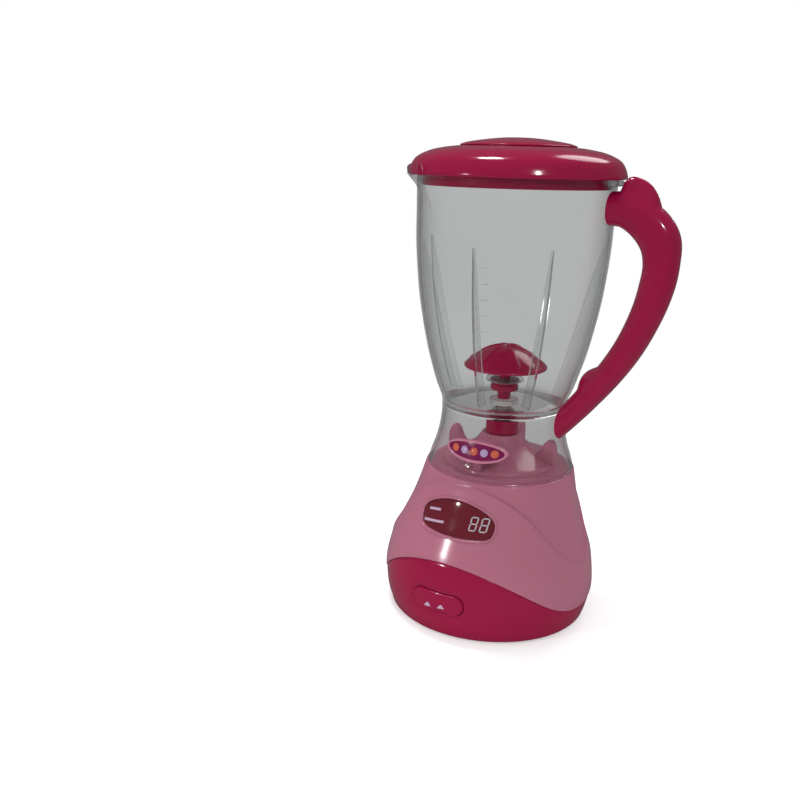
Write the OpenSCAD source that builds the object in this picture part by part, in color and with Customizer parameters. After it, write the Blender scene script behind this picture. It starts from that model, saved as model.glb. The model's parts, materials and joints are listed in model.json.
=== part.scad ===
// Toy blender: a bell-shaped base with one push button, a lift-off clear jug with a
// spinning cap inside it, and a lift-off lid. The origin is on the jug's axis at table
// level. The control face looks along -Y, the handle is on +X and the pouring lip on -X.

/* [Base] */
// Largest radius of the bell-shaped base
base_r = 58.6; // [56:0.2:61]
// Height of the deck that the jug stands on
deck_z = 84; // [80:1:88]
// Radius of the base at the deck
deck_r = 41.2; // [40.4:0.2:42.4]
// Turn of the control face from -Y
face_angle = -5.5; // [-10:0.5:10]
// Lean of the bell, its foot set towards the left of the control face
lean = 3.5; // [0:0.5:4]
// Wall thickness of the opaque mouldings
shell_wall = 2.2; // [1.8:0.1:2.6]

/* [Controls] */
// Length of the start button
button_w = 31; // [28:1:36]
// Height of the start button
button_h = 14; // [11:0.5:15]
// Length of the display window
display_w = 46; // [40:1:48]

/* [Jug] */
// Height of the jug from the deck to its rim
jug_h = 156; // [146:1:160]
// Largest radius of the jug's body
jug_r = 51.4; // [50:0.2:53]
// Radius of the jug at its waist
waist_r = 34; // [33:0.2:35]
// Wall thickness of the clear mouldings
clear_wall = 2.2; // [1.8:0.1:2.4]
// Distance from the axis to the tip of the pouring lip
lip_reach = 63.5; // [61:0.5:66]
// Depth of the fins inside the jug
fin_depth = 7.5; // [5:0.5:9]

/* [Handle] */
// Distance from the axis to the outside of the handle
handle_reach = 87; // [84:0.5:91]
// Width of the handle across its two halves
handle_w = 18; // [16:0.5:20]

/* [Cap and lid] */
// Radius of the spinning cap
cap_r = 22.5; // [19:0.5:24]
// Distance that the lid stands out past the jug's wall
lid_over = 4.9; // [4:0.1:6]
// Radius of the round disc on the lid
disc_r = 30; // [24:1:34]

/* [Hidden] */
$fn = 96;
pink = [0.82, 0.50, 0.60];
magenta = [0.72, 0.12, 0.34];
clear_col = [0.80, 0.82, 0.84, 0.35];
steel = [0.72, 0.73, 0.75];
dark = [0.15, 0.14, 0.15];
brass = [0.80, 0.66, 0.35];
white_col = [0.92, 0.92, 0.90];
window_col = [0.40, 0.06, 0.12];

// Clearances
fit_gap = 0.3;
run_gap = 0.06;
seat_gap = 0.1;

// Levels
foot_z = 1.2;
cover_t = 2.2;
cover_top = foot_z + cover_t;
waist_z = deck_z + 34;
rim_z = deck_z + jug_h;
floor_t = 2.5;
floor_top = waist_z + floor_t;
plate_z = deck_z - 18;
plate_t = 2.4;

// Smooth curve through a list of points, n steps between each pair
function blend4(a, b, c, d, t) =
    0.5 * (2 * b + (c - a) * t + (2 * a - 5 * b + 4 * c - d) * t * t
    + (3 * b - a - 3 * c + d) * t * t * t);
function curve(p, n) = let (m = len(p) - 1) concat(
    [for (i = [0 : m - 1]) for (k = [0 : n - 1])
        blend4(p[max(i - 1, 0)], p[i], p[i + 1], p[min(i + 2, m)], k / n)],
    [p[m]]);
function flip(p) = [for (i = [len(p) - 1 : -1 : 0]) p[i]];
function inset(p, d) = [for (q = p) [q[0] - d, q[1]]];
function swapped(p) = [for (q = p) [q[1], q[0]]];

// Outer line of the base: [share of the bell's width, share of the height]
base_rule = [[0.70, -0.06], [0.78, 0], [0.86, 0.035], [0.955, 0.12], [1, 0.235], [0.925, 0.357],
    [0.80, 0.476], [0.572, 0.595], [0.36, 0.714], [0.163, 0.86], [0, 1], [-0.08, 1.06]];
base_line = curve([for (q = base_rule)
    [deck_r + (base_r - deck_r) * q[0], foot_z + (deck_z - foot_z) * q[1]]], 3);

// Outer line of the jug's skirt and bowl
skirt_r = deck_r - 0.5;
skirt_line = curve([[skirt_r, deck_z + seat_gap], [skirt_r - 1.6, deck_z + 6],
    [waist_r + 2.7, deck_z + 13], [waist_r + 0.9, deck_z + 21], [waist_r, deck_z + 29],
    [waist_r, waist_z]], 3);
bowl_rule = [[0, 0], [0.035, 0.03], [0.10, 0.21], [0.18, 0.38], [0.26, 0.53], [0.36, 0.68],
    [0.48, 0.825], [0.60, 0.92], [0.73, 0.985], [0.86, 1], [1, 1.02]];
bowl_line = curve([for (q = bowl_rule)
    [waist_r + (jug_r - waist_r) * q[1], waist_z + (rim_z - waist_z) * q[0]]], 3);
rim_r = bowl_line[len(bowl_line) - 1][0];
jug_line = concat(skirt_line, [for (i = [1 : len(bowl_line) - 1]) bowl_line[i]]);
function bowl_at(z) = lookup(z, swapped(bowl_line));

// Solid of revolution under an outer line, moved out by d
module turned(line, d) {
    rotate_extrude()
        polygon(concat([[0, line[0][1]]], inset(line, -d), [[0, line[len(line) - 1][1]]]));
}

// ---------- base ----------
// Half of a wave seen from the front: a crest of radius r, a slope of the given angle and
// a trough at distance w
function half_wave(top, low, w, r, slope) =
    let (rise = top - low, both = (w * sin(slope) - rise * cos(slope)) / (1 - cos(slope)),
        small = both - r)
    concat([for (k = [0 : 8]) let (a = slope * k / 8) [r * sin(a), top - r * (1 - cos(a))]],
        [for (k = [0 : 8]) let (a = slope - (slope + 30) * k / 8)
            [w - small * sin(a), low + small * (1 - cos(a))]]);

// Region below a wave that runs to both sides
module under_wave(top, low, w, r, slope) {
    half = half_wave(top, low, w, r, slope);
    end = half[len(half) - 1];
    rotate([0, 0, face_angle])
        rotate([90, 0, 0])
            translate([0, 0, -80])
                linear_extrude(160)
                    polygon(concat([[base_r + 12, -20], [base_r + 12, end[1]]], flip(half),
                        [for (i = [1 : len(half) - 1]) [-half[i][0], half[i][1]]],
                        [[-base_r - 12, end[1]], [-base_r - 12, -20]]));
}

module wave_prism() {
    under_wave(deck_z * 0.504, deck_z * 0.149, base_r * 1.007, base_r * 1.126, 48);
}

// Region below the raised line on the upper shell
module swoosh_prism() {
    under_wave(deck_z - 1, deck_z * 0.37, base_r * 1.05, base_r * 0.75, 56);
}

// Rounded bar of length w and height h, seen from the front
module bar_outline(w, h) {
    square([w - h, h], center = true);
    for (s = [-1, 1])
        translate([s * (w - h) / 2, 0])
            circle(h / 2);
}

// Prism that runs from the axis out through the front at height z
module front_prism(z, reach = 80) {
    rotate([0, 0, face_angle])
        translate([0, 0, z])
            rotate([90, 0, 0])
                linear_extrude(reach)
                    children();
}

button_z = deck_z * 0.249;
button_gap = 0.35;
display_z = deck_z * 0.772;
display_h = display_w * 0.46;

// Display outline: a nearly straight lower edge and a domed top
module display_outline(d) {
    dome_r = 34;
    intersection() {
        translate([0, display_h / 2 - dome_r])
            circle(dome_r + d);
        translate([-display_w / 2 - d, -display_h / 2 - d])
            square([display_w + 2 * d, display_h + 2 * d]);
        translate([0, dome_r * 2 - display_h / 2])
            circle(dome_r * 2 + d);
        circle(display_w / 2 + d);
    }
}

// The bell leans about a level axis at height lean_z, its foot moving towards lean_to
lean_z = 76;
lean_to = 209;
foot_shift = base_r * sin(lean);
foot_r = deck_r + (base_r - deck_r) * base_rule[1][0];
cover_r = foot_r - shell_wall - 0.8;
post_r = cover_r - 6;
post_angles = [45, 135, 225, 315];
module around(list, r) {
    for (a = list)
        rotate([0, 0, a])
            translate([r, 0, 0])
                children();
}

// Everything under the base stands on the middle of the bell's foot
module at_foot() {
    rotate([0, 0, lean_to])
        translate([foot_shift, 0, 0])
            rotate([0, 0, -lean_to])
                children();
}

// Bell moved out by d all round, cut level at its foot and at the deck
module base_solid(d, low = foot_z) {
    intersection() {
        translate([0, 0, lean_z])
            rotate([0, 0, lean_to])
                rotate([0, -lean, 0])
                    translate([0, 0, -lean_z])
                        turned(base_line, d);
        translate([0, 0, low])
            cylinder(r = base_r + 12, h = deck_z - low);
    }
}

hanger_angles = [30, 150, 270];
hanger_r = 31;
turret_r = 9;
turret_top = deck_z + 26;
turret_foot = deck_z + 18;
deck_t = 2.2;
plateau_z = deck_z + 2;
plateau_r = skirt_r - clear_wall - fit_gap - 0.4;

module base_shell() {
    color(pink)
    difference() {
        union() {
            difference() {
                union() {
                    base_solid(0);
                    intersection() {
                        base_solid(0.7);
                        swoosh_prism();
                        translate([0, 0, -1])
                            cylinder(r = 90, h = deck_z + 0.2);
                    }
                }
                intersection() {
                    base_solid(-shell_wall, foot_z - 1);
                    translate([0, 0, -1])
                        cylinder(r = 90, h = deck_z - deck_t + 1);
                }
                front_prism(display_z)
                    display_outline(0.2);
                front_prism(display_z)
                    display_outline(-2);
            }
            intersection() {
                union() {
                    at_foot()
                        around(post_angles, post_r)
                            translate([0, 0, cover_top + seat_gap])
                                cylinder(r = 3.6, h = deck_z - 15, $fn = 40);
                    around(hanger_angles, hanger_r)
                        translate([0, 0, plate_z + plate_t])
                            cylinder(r = 3.2, h = 20, $fn = 40);
                }
                base_solid(-shell_wall / 2);
                cylinder(r = 90, h = deck_z - deck_t / 2);
            }
            translate([0, 0, deck_z - deck_t])
                cylinder(r = plateau_r, h = deck_t + 2);
        }
        below_wave_outside();
        at_foot()
            around(post_angles, post_r)
                translate([0, 0, cover_top - 1])
                    cylinder(r = 1.3, h = 14, $fn = 32);
        around(hanger_angles, hanger_r)
            translate([0, 0, plate_z - 1])
                cylinder(r = 1.0, h = 12, $fn = 32);
        translate([0, 0, deck_z - 8])
            cylinder(r = 5.2, h = 30, $fn = 48);
    }
}

// Everything of the outer wall that belongs to the band; the posts inside stay
module below_wave_outside() {
    difference() {
        intersection() {
            wave_prism();
            translate([0, 0, -1])
                cylinder(r = 90, h = 70);
        }
        at_foot()
            translate([0, 0, -2])
                cylinder(r = post_r + 4.2, h = 80);
    }
}

module base_band() {
    color(magenta)
    difference() {
        intersection() {
            base_solid(0.5);
            wave_prism();
        }
        base_solid(-shell_wall, foot_z - 1);
        at_foot()
            translate([0, 0, -1])
                cylinder(r = post_r + 4.2 + fit_gap, h = 80);
        front_prism(button_z)
            bar_outline(button_w + 2 * button_gap, button_h + 2 * button_gap);
        intersection() {
            front_prism(button_z)
                bar_outline(button_w + 3.4, button_h + 3.4);
            difference() {
                base_solid(3);
                base_solid(-0.4);
            }
        }
    }
}

// Cone, locating lugs and hub on the deck
module deck_turret() {
    cone = curve([[32, plateau_z], [30.5, deck_z + 4], [22, deck_z + 7.5], [15, deck_z + 12],
        [11, turret_foot - 0.4]], 3);
    color(pink)
    difference() {
        union() {
            rotate_extrude()
                polygon(concat([[0, plateau_z]], cone, [[0, turret_foot - 0.4]]));
            for (a = [0 : 90 : 270])
                rotate([0, 0, a])
                    rotate([90, 0, 0])
                        translate([0, 0, -2.5])
                            linear_extrude(5)
                                polygon([[16, plateau_z + 1], [32, plateau_z + 1],
                                    [32, deck_z + 12], [30.5, deck_z + 16.5], [28.5, deck_z + 17.5],
                                    [26, deck_z + 16], [23, deck_z + 10]]);
        }
        translate([0, 0, plateau_z - 1])
            cylinder(r = 5.2, h = 40, $fn = 48);
    }
}

shaft_r = 2;
module output_bush() {
    color(brass)
    difference() {
        translate([0, 0, deck_z + 2])
            cylinder(r = 5.2, h = 15, $fn = 48);
        translate([0, 0, deck_z - 1])
            cylinder(r = shaft_r + run_gap, h = 30, $fn = 48);
    }
}

module display_frame() {
    color(pink)
    difference() {
        intersection() {
            base_solid(1.5);
            front_prism(display_z)
                display_outline(0.2);
        }
        base_solid(-shell_wall - 1, foot_z - 1);
        front_prism(display_z)
            display_outline(-1.2);
    }
}

module display_window() {
    color(window_col)
    difference() {
        intersection() {
            base_solid(0.8);
            front_prism(display_z)
                display_outline(-1.2);
        }
        base_solid(-shell_wall - 0.4, foot_z - 1);
    }
}

// ---------- under the base ----------
cell_r = 7.1;
cell_l = 49;
bay_y = 4;
bay_x = 28;
bay_half = 15.3;
bay_wall = 1.6;
bay_top = cover_top + 16.2;
door_y = bay_y - bay_half;
door_x = bay_x - 0.6;
door_back = bay_y + bay_half - 0.4;
hinge_y = door_y - 1.5;
hinge_z = foot_z + 1.4;
tongue_x = 5.5;
tongue_y = door_back + 7;
tongue_t = 1.2;
door_screw_y = door_back + 3.5;
stand_w = 2.6;

// Cover of the underside, with the battery bay above it and the rim that the toy stands on
module bottom_cover() {
    color(pink)
    at_foot()
        difference() {
            union() {
                translate([0, 0, foot_z])
                    cylinder(r = cover_r, h = cover_t);
                translate([-bay_x - bay_wall, bay_y - bay_half - bay_wall, foot_z + 0.5])
                    cube([2 * (bay_x + bay_wall), 2 * (bay_half + bay_wall), bay_top - foot_z - 0.5]);
                translate([0, door_screw_y, foot_z + 0.5])
                    cylinder(r = 4, h = 9, $fn = 48);
                difference() {
                    cylinder(r = cover_r, h = foot_z + 0.5);
                    translate([0, 0, -1])
                        cylinder(r = cover_r - stand_w, h = foot_z + 3);
                }
            }
            translate([-bay_x, bay_y - bay_half, foot_z - 1])
                cube([2 * bay_x, 2 * bay_half, bay_top - bay_wall - foot_z + 1]);
            translate([-10, hinge_y - 2.1, foot_z - 1])
                cube([20, 6, cover_t + 1.8]);
            translate([-tongue_x - fit_gap, bay_y, foot_z - 1])
                cube([2 * (tongue_x + fit_gap), tongue_y + fit_gap - bay_y, tongue_t + 1 + fit_gap]);
            translate([0, door_screw_y, foot_z])
                cylinder(r = 1.3, h = 8, $fn = 32);
            around(post_angles, post_r) {
                translate([0, 0, foot_z - 2])
                    cylinder(r = 1.6, h = 7, $fn = 32);
                translate([0, 0, foot_z - 2])
                    cylinder(r = 3.1, h = 3, $fn = 32);
            }
        }
}

module cover_screws() {
    color(steel)
    at_foot()
        around(post_angles, post_r)
            difference() {
                union() {
                    translate([0, 0, foot_z + 0.2])
                        cylinder(r = 2.8, h = 0.8, $fn = 32);
                    translate([0, 0, foot_z + 1])
                        cylinder(r = 1.25, h = 11, $fn = 24);
                }
                for (a = [0, 90])
                    rotate([0, 0, a])
                        translate([-1.6, -0.3, foot_z])
                            cube([3.2, 0.6, 0.6]);
            }
}

module battery_door() {
    color(pink)
    at_foot()
        difference() {
            union() {
                translate([-door_x, door_y + 0.8, foot_z])
                    cube([2 * door_x, door_back - door_y - 0.8, 2]);
                translate([-tongue_x, door_back - 1, foot_z])
                    cube([2 * tongue_x, tongue_y - door_back + 1, tongue_t]);
                for (s = [-1, 1])
                    translate([s * 6 - 2, hinge_y, hinge_z - 0.8])
                        cube([4, 3.3, 1.4]);
                for (s = [-1, 1])
                    translate([s * 6 - 2, hinge_y, hinge_z])
                        rotate([0, 90, 0])
                            cylinder(r = 1.35, h = 4, $fn = 32);
            }
            for (s = [-1, 1])
                translate([s * 6 - 3, hinge_y, hinge_z])
                    rotate([0, 90, 0])
                        cylinder(r = 0.7, h = 6, $fn = 24);
            translate([0, door_screw_y, foot_z - 1])
                cylinder(r = 1.25, h = 5, $fn = 32);
        }
}

module door_pin() {
    color(steel)
    at_foot()
        translate([-10, hinge_y, hinge_z])
            rotate([0, 90, 0])
                cylinder(r = 0.64, h = 20, $fn = 24);
}

module door_screw() {
    color(steel)
    at_foot()
        translate([0, door_screw_y, foot_z])
            difference() {
                union() {
                    translate([0, 0, -0.9])
                        cylinder(r = 2.4, h = 0.9, $fn = 32);
                    cylinder(r = 1.2, h = 6, $fn = 24);
                }
                translate([-1.6, -0.3, -1])
                    cube([3.2, 0.6, 0.6]);
            }
}

cell_y = [bay_y - 7.5, bay_y + 7.5];
cell_z = cover_top + 0.4 + cell_r;
module battery_cells() {
    color([0.25, 0.27, 0.30])
    at_foot()
        for (i = [0, 1])
            translate([i == 0 ? -1.2 : 1.2, cell_y[i], cell_z])
                rotate([0, i == 0 ? 90 : -90, 0])
                    translate([0, 0, -cell_l / 2]) {
                        cylinder(r = cell_r, h = cell_l, $fn = 48);
                        cylinder(r = 2.7, h = cell_l + 1.2, $fn = 32);
                    }
}

module battery_contacts() {
    color(steel)
    at_foot()
        for (s = [-1, 1]) {
            translate([s > 0 ? bay_x - 0.5 : -bay_x, bay_y - 13, cover_top + 1])
                cube([0.5, 26, 11.5]);
            for (i = [0, 1])
                translate([0, cell_y[i], cell_z])
                    rotate([0, s * 90, 0])
                        translate([0, 0, bay_x - 0.5])
                            mirror([0, 0, 1])
                                cylinder(r1 = 4, r2 = 2.4, h = contact_len(i, s), $fn = 32);
        }
}

// Gap from the contact plate to the near end of cell i on side s
function contact_len(i, s) =
    let (shift = i == 0 ? -1.2 : 1.2, tip = (i == 0) == (s > 0) ? 1.2 : 0)
    bay_x - 0.5 - cell_l / 2 - tip - s * shift - 0.02;

// ---------- button and switch ----------
button_face = 1.1;
flange_y = base_r - 5.4;

module start_button() {
    color(magenta)
    intersection() {
        base_solid(button_face);
        union() {
            difference() {
                front_prism(button_z)
                    bar_outline(button_w, button_h);
                front_prism(button_z, base_r - 1.4)
                    bar_outline(button_w - 3.6, button_h - 3.6);
                rotate([0, 0, face_angle])
                    translate([-40, -flange_y + 1.2, -5])
                        cube([80, 80, 60]);
            }
            rotate([0, 0, face_angle])
                translate([0, -flange_y + 1.2, button_z])
                    rotate([90, 0, 0]) {
                        linear_extrude(1.2)
                            bar_outline(button_w + 2.4, button_h + 2.4);
                        translate([0, 0, -6])
                            cylinder(r = 1.6, h = 11, $fn = 32);
                    }
        }
    }
}

switch_face = flange_y - 5.2;
module push_switch() {
    color(dark)
    rotate([0, 0, face_angle])
        difference() {
            union() {
                translate([-5, -switch_face, button_z - 4])
                    cube([10, 7, 8]);
                translate([-1.5, -switch_face + 2, cover_top + seat_gap])
                    cube([3, 3, button_z - 6]);
                translate([-8, -switch_face - 1, cover_top + seat_gap])
                    cube([16, 9, 1.6]);
            }
            translate([0, -switch_face - 2, button_z])
                rotate([-90, 0, 0])
                    cylinder(r = 1.6 + run_gap, h = 7, $fn = 32);
        }
}

board_y = 36;
module circuit_board() {
    color([0.12, 0.35, 0.20])
    rotate([0, 0, face_angle]) {
        translate([-17, -board_y, plate_z - 26])
            cube([34, 1.6, 23]);
        for (s = [-1, 1])
            translate([s * 14 - 1.5, 1 - board_y, plate_z - 8])
                cube([3, 4, 8]);
    }
}

screen_y = flange_y * 0.78;
module display_module() {
    color(white_col)
    rotate([0, 0, face_angle])
        translate([-12, -screen_y, plate_z - 10])
            cube([24, screen_y - board_y, 9]);
}

// ---------- drive ----------
tooth_m = 0.8;
gear_n = 36;
pinion_n = 12;
centre_d = tooth_m * (gear_n + pinion_n) / 2;
gear_z = plate_z + plate_t + 2;
gear_t = 4;

// Involute gear outline: n teeth, turned by a degrees, backlash b at the pitch circle
function inv_point(rb, t) = rb * [cos(t) + t * PI / 180 * sin(t), sin(t) - t * PI / 180 * cos(t)];
function inv_polar(rb, r) =
    let (t = sqrt(max(r * r / rb / rb - 1, 0)) * 180 / PI, p = inv_point(rb, t))
    atan2(p[1], p[0]);
module gear_outline(n, b) {
    rp = tooth_m * n / 2;
    rb = rp * cos(20);
    ro = rp + tooth_m * 0.95;
    rf = rp - tooth_m * 1.2;
    half = 90 / n - b / rp / 2 * 180 / PI;
    at_pitch = inv_polar(rb, rp);
    steps = 5;
    lower = max(rb, rf);
    side = [for (k = [0 : steps])
        let (r = lower + (ro - lower) * k / steps)
        [r, half + at_pitch - inv_polar(rb, r)]];
    polygon([for (i = [0 : n - 1]) each concat(
        [[rf * cos(360 * i / n - side[0][1]), rf * sin(360 * i / n - side[0][1])]],
        [for (q = side) [q[0] * cos(360 * i / n - q[1]), q[0] * sin(360 * i / n - q[1])]],
        [for (q = flip(side)) [q[0] * cos(360 * i / n + q[1]), q[0] * sin(360 * i / n + q[1])]],
        [[rf * cos(360 * i / n + side[0][1]), rf * sin(360 * i / n + side[0][1])]])]);
}

module gear_plate() {
    color(white_col)
    difference() {
        union() {
            translate([0, 0, plate_z])
                cylinder(r = hanger_r + 4, h = plate_t);
            translate([0, centre_d, plate_z - 8])
                cylinder(r = motor_r + 2, h = 8, $fn = 64);
        }
        translate([0, centre_d, plate_z - 9])
            cylinder(r = motor_r + run_gap, h = 9, $fn = 64);
        translate([0, centre_d, plate_z - 9])
            cylinder(r = 3.2, h = 20, $fn = 32);
        translate([0, 0, plate_z - 1])
            cylinder(r = shaft_r + run_gap, h = 10, $fn = 48);
        around(hanger_angles, hanger_r)
            translate([0, 0, plate_z - 1])
                cylinder(r = 1.3, h = 10, $fn = 32);
    }
}

module plate_screws() {
    color(steel)
    around(hanger_angles, hanger_r) {
        translate([0, 0, plate_z - 1.4])
            cylinder(r = 2.2, h = 1.4, $fn = 32);
        translate([0, 0, plate_z - 0.5])
            cylinder(r = 0.97, h = 10, $fn = 24);
    }
}

motor_r = 10;
motor_h = 25;
module motor() {
    color(steel)
    translate([0, centre_d, plate_z - motor_h])
        difference() {
            union() {
                cylinder(r = motor_r, h = motor_h, $fn = 64);
                cylinder(r = 3, h = motor_h + 1.5, $fn = 32);
            }
            translate([0, 0, motor_h - 8])
                cylinder(r = 1 + run_gap, h = 12, $fn = 32);
        }
}

module motor_shaft() {
    color(steel)
    translate([0, centre_d, plate_z - 6])
        cylinder(r = 1, h = gear_z + gear_t + 1.4 - plate_z + 6, $fn = 32);
}

module motor_pinion() {
    color(white_col)
    translate([0, centre_d, gear_z - 0.5])
        difference() {
            linear_extrude(gear_t + 1)
                rotate([0, 0, 90 + 180 / pinion_n])
                    gear_outline(pinion_n, 0.12);
            translate([0, 0, -1])
                cylinder(r = 1, h = 8, $fn = 32);
        }
}

module drive_gear() {
    color(white_col)
    translate([0, 0, gear_z])
        difference() {
            union() {
                linear_extrude(gear_t)
                    rotate([0, 0, 90])
                        gear_outline(gear_n, 0.12);
                translate([0, 0, -1.8])
                    cylinder(r = 4.5, h = gear_t + 4, $fn = 48);
            }
            translate([0, 0, -3])
                cylinder(r = shaft_r, h = 14, $fn = 48);
        }
}

module drive_shaft() {
    color(steel)
    translate([0, 0, plate_z - 3])
        cylinder(r = shaft_r, h = turret_foot + 3 - plate_z + 3, $fn = 48);
}

slot_w = 2.6;
slot_floor = turret_foot + 3.2;
module drive_dog() {
    color(magenta)
    difference() {
        translate([0, 0, turret_foot])
            cylinder(r = turret_r, h = turret_top - turret_foot);
        translate([0, 0, turret_foot - 1])
            cylinder(r = shaft_r, h = 4, $fn = 48);
        for (a = [0, 90])
            rotate([0, 0, a])
                translate([-6.6, -slot_w / 2, slot_floor])
                    cube([13.2, slot_w, 10]);
    }
}

// ---------- jug ----------
function lip_share(z) = max((z - (rim_z - 22)) / 22, 0);
// Distance to the lip's tip at height z
function lip_at(z) = bowl_at(z) - 1 + (lip_reach - rim_r + 1) * pow(lip_share(z), 1.6);

// Solid wedge of the pouring lip, drawn in by d all round
module lip_solid(d, top) {
    levels = 9;
    z0 = rim_z - 22;
    dz = (top - z0) / levels;
    half_a = 24;
    pts = [for (k = [0 : levels])
        let (z = z0 + dz * k, t = lip_at(min(z, rim_z)) - d, r = bowl_at(min(z, rim_z)) - 2.4 - d)
        each [[-r + 12, 0, z], [-r * cos(half_a), r * sin(half_a), z],
            [-t + 1.2, 1.3, z], [-t, 0, z], [-t + 1.2, -1.3, z],
            [-r * cos(half_a), -r * sin(half_a), z]]];
    polyhedron(points = pts, faces = concat(
        [[5, 4, 3, 2, 1, 0]],
        [for (k = [0 : levels - 1]) for (j = [0 : 5])
            let (a = 6 * k + j, b = 6 * k + (j + 1) % 6) [a, b, b + 6]],
        [for (k = [0 : levels - 1]) for (j = [0 : 5])
            let (a = 6 * k + j, b = 6 * k + (j + 1) % 6) [a, b + 6, a + 6]],
        [[for (j = [0 : 5]) 6 * levels + j]]));
}

module jug_inside() {
    top = [for (q = inset(bowl_line, clear_wall)) if (q[1] > floor_top + 1) q];
    rotate_extrude()
        polygon(concat([[0, floor_top], [bowl_at(floor_top) - clear_wall - 1, floor_top]],
            [[bowl_at(floor_top + 1) - clear_wall, floor_top + 1]], top,
            [[rim_r - clear_wall, rim_z + 2], [0, rim_z + 2]]));
}

bush_r = 6.4;
fin_angles = [-180, -135, -90, -45, 0];
module jug_shell() {
    color(clear_col)
    difference() {
        union() {
            difference() {
                union() {
                    turned(jug_line, 0);
                    lip_solid(0, rim_z);
                    tab();
                }
                jug_inside();
                lip_solid(1.7, rim_z + 1);
                rotate_extrude()
                    polygon(concat([[0, deck_z - 1], [skirt_r - clear_wall, deck_z - 1]],
                        inset(skirt_line, clear_wall), [[0, waist_z]]));
            }
            fins();
        }
        translate([0, 0, waist_z - 1])
            cylinder(r = bush_r, h = 6, $fn = 64);
    }
}

// Small ledge of the rim over the top of the handle
module tab() {
    translate([rim_r - 3, -7, rim_z - 3.2])
        cube([6.2, 14, 3.2]);
}

// Fins on the bowl's inner wall, thinner towards the top
module fins() {
    z0 = floor_top + 3;
    z1 = rim_z - 33;
    rows = 10;
    edge = [for (k = [0 : rows])
        let (z = z0 + (z1 - z0) * k / rows, s = k / rows)
        [bowl_at(z) - clear_wall - fin_depth * (1 - pow(s, 3) * 0.9), z]];
    intersection() {
        for (a = fin_angles)
            rotate([0, 0, a])
                rotate([90, 0, 0])
                    translate([0, 0, -0.8])
                        linear_extrude(1.6)
                            polygon(concat(edge, [[jug_r + 4, z1 + 3], [jug_r + 4, z0 - 2],
                                [edge[0][0] + 3, z0 - 2]]));
        turned(bowl_line, -clear_wall / 2);
    }
}

badge_z = deck_z + 16;
badge_x = 18.2;
badge_y = 6.6;
module badge_outline(d) {
    scale([(badge_x + d) / (badge_y + d), 1])
        circle(badge_y + d);
}
module badge_prism(d, reach) {
    translate([0, 0, badge_z])
        rotate([90, 0, 0])
            linear_extrude(reach)
                badge_outline(d);
}
module badge_shell(lift) {
    turned(skirt_line, lift);
}

module badge_rim() {
    color(pink)
    difference() {
        intersection() {
            badge_shell(1.8);
            badge_prism(0, 60);
        }
        badge_shell(0);
        badge_prism(-1.9, 70);
    }
}

module badge_plate() {
    color([0.45, 0.10, 0.30])
    difference() {
        intersection() {
            badge_shell(1.1);
            badge_prism(-1.9, 60);
        }
        badge_shell(0);
    }
}

// Path of the handle's middle line: [r, z, half of its thickness]
grip = handle_reach - 87;
path_rule = [[44, waist_z + 108, 8.3], [52, waist_z + 108.3, 8.4], [60 + grip / 2, waist_z + 107.6, 8.8],
    [69.5 + grip, waist_z + 102.5, 9.7], [76.5 + grip, waist_z + 94, 9.9],
    [78.4 + grip, waist_z + 83, 8.8], [77.2 + grip, waist_z + 71, 8.5],
    [73.4 + grip, waist_z + 56.5, 7.9], [66.4 + grip, waist_z + 39.5, 7.4],
    [57.2 + grip / 2, waist_z + 24, 7], [46.5, waist_z + 9.5, 6.7], [37.5, waist_z - 1.5, 6.5],
    [29, waist_z - 11, 6.4]];
path = curve(path_rule, 3);
path_n = len(path);
function heading(i) =
    let (a = path[max(i - 1, 0)], b = path[min(i + 1, path_n - 1)], d = [b[0] - a[0], b[1] - a[1]])
    d / norm(d);
half_w = handle_w / 2;

// Thumb rest on the outside of the top arm and nub on the inside of the lower end
rest_x = 59.5 + grip / 2;
function rest_rise(q) =
    let (s = q[0] < rest_x ? pow((rest_x - q[0]) / 4, 4) : pow((q[0] - rest_x) / 10, 2))
    q[1] > waist_z + 96 ? 7.6 * max(1 - s, 0) : 0;
function nub_rise(q) = 3 * max(1 - pow((q[1] - waist_z - 17) / 6.5, 2), 0);

// One point of the handle's section: angle t from the outside of the bend
function grip_point(i, t) =
    let (q = path[i], h = heading(i), c = cos(t), v = half_w * (0.86 + 0.014 * q[2]) * pow(sin(t), 0.86),
        u = sign(c) * pow(abs(c), 0.86) * q[2]
            + (c > 0 ? rest_rise(q) * pow(c, 8) : -nub_rise(q) * pow(-c, 3)))
    [q[0] - h[1] * u, v, q[1] + h[0] * u];

// One half of the handle, on the side of s
arc_n = 12;
module handle_grip(s) {
    n = arc_n + 1;
    last = path_n - 1;
    pts = [for (i = [0 : last]) for (k = [0 : arc_n])
        let (p = grip_point(i, 180 * k / arc_n)) [p[0], s * p[1], p[2]]];
    ends = [for (k = [1 : arc_n - 1]) [0, k, k + 1]];
    sides = [for (i = [0 : last - 1]) for (k = [0 : n - 1])
        let (a = i * n + k, b = i * n + (k + 1) % n) each [[a, a + n, b + n], [a, b + n, b]]];
    all = concat(ends, sides, [for (f = ends) [last * n + f[0], last * n + f[2], last * n + f[1]]]);
    polyhedron(points = pts, faces = s > 0 ? all : [for (f = all) flip(f)]);
}

boss_points = [path_rule[3], path_rule[8]];
module boss_holes(from, to, r) {
    for (q = boss_points)
        translate([q[0], from, q[1]])
            rotate([-90, 0, 0])
                cylinder(r = r, h = to - from, $fn = 24);
}

module handle_back() {
    color(magenta)
    difference() {
        handle_grip(1);
        turned(jug_line, 0);
        boss_holes(-1, 20, 1.4);
        boss_holes(half_w - 5.4, 20, 2.5);
    }
}

module handle_front() {
    color(magenta)
    difference() {
        handle_grip(-1);
        turned(jug_line, 0);
        boss_holes(3.2 - half_w, 1, 1.1);
    }
}

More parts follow.
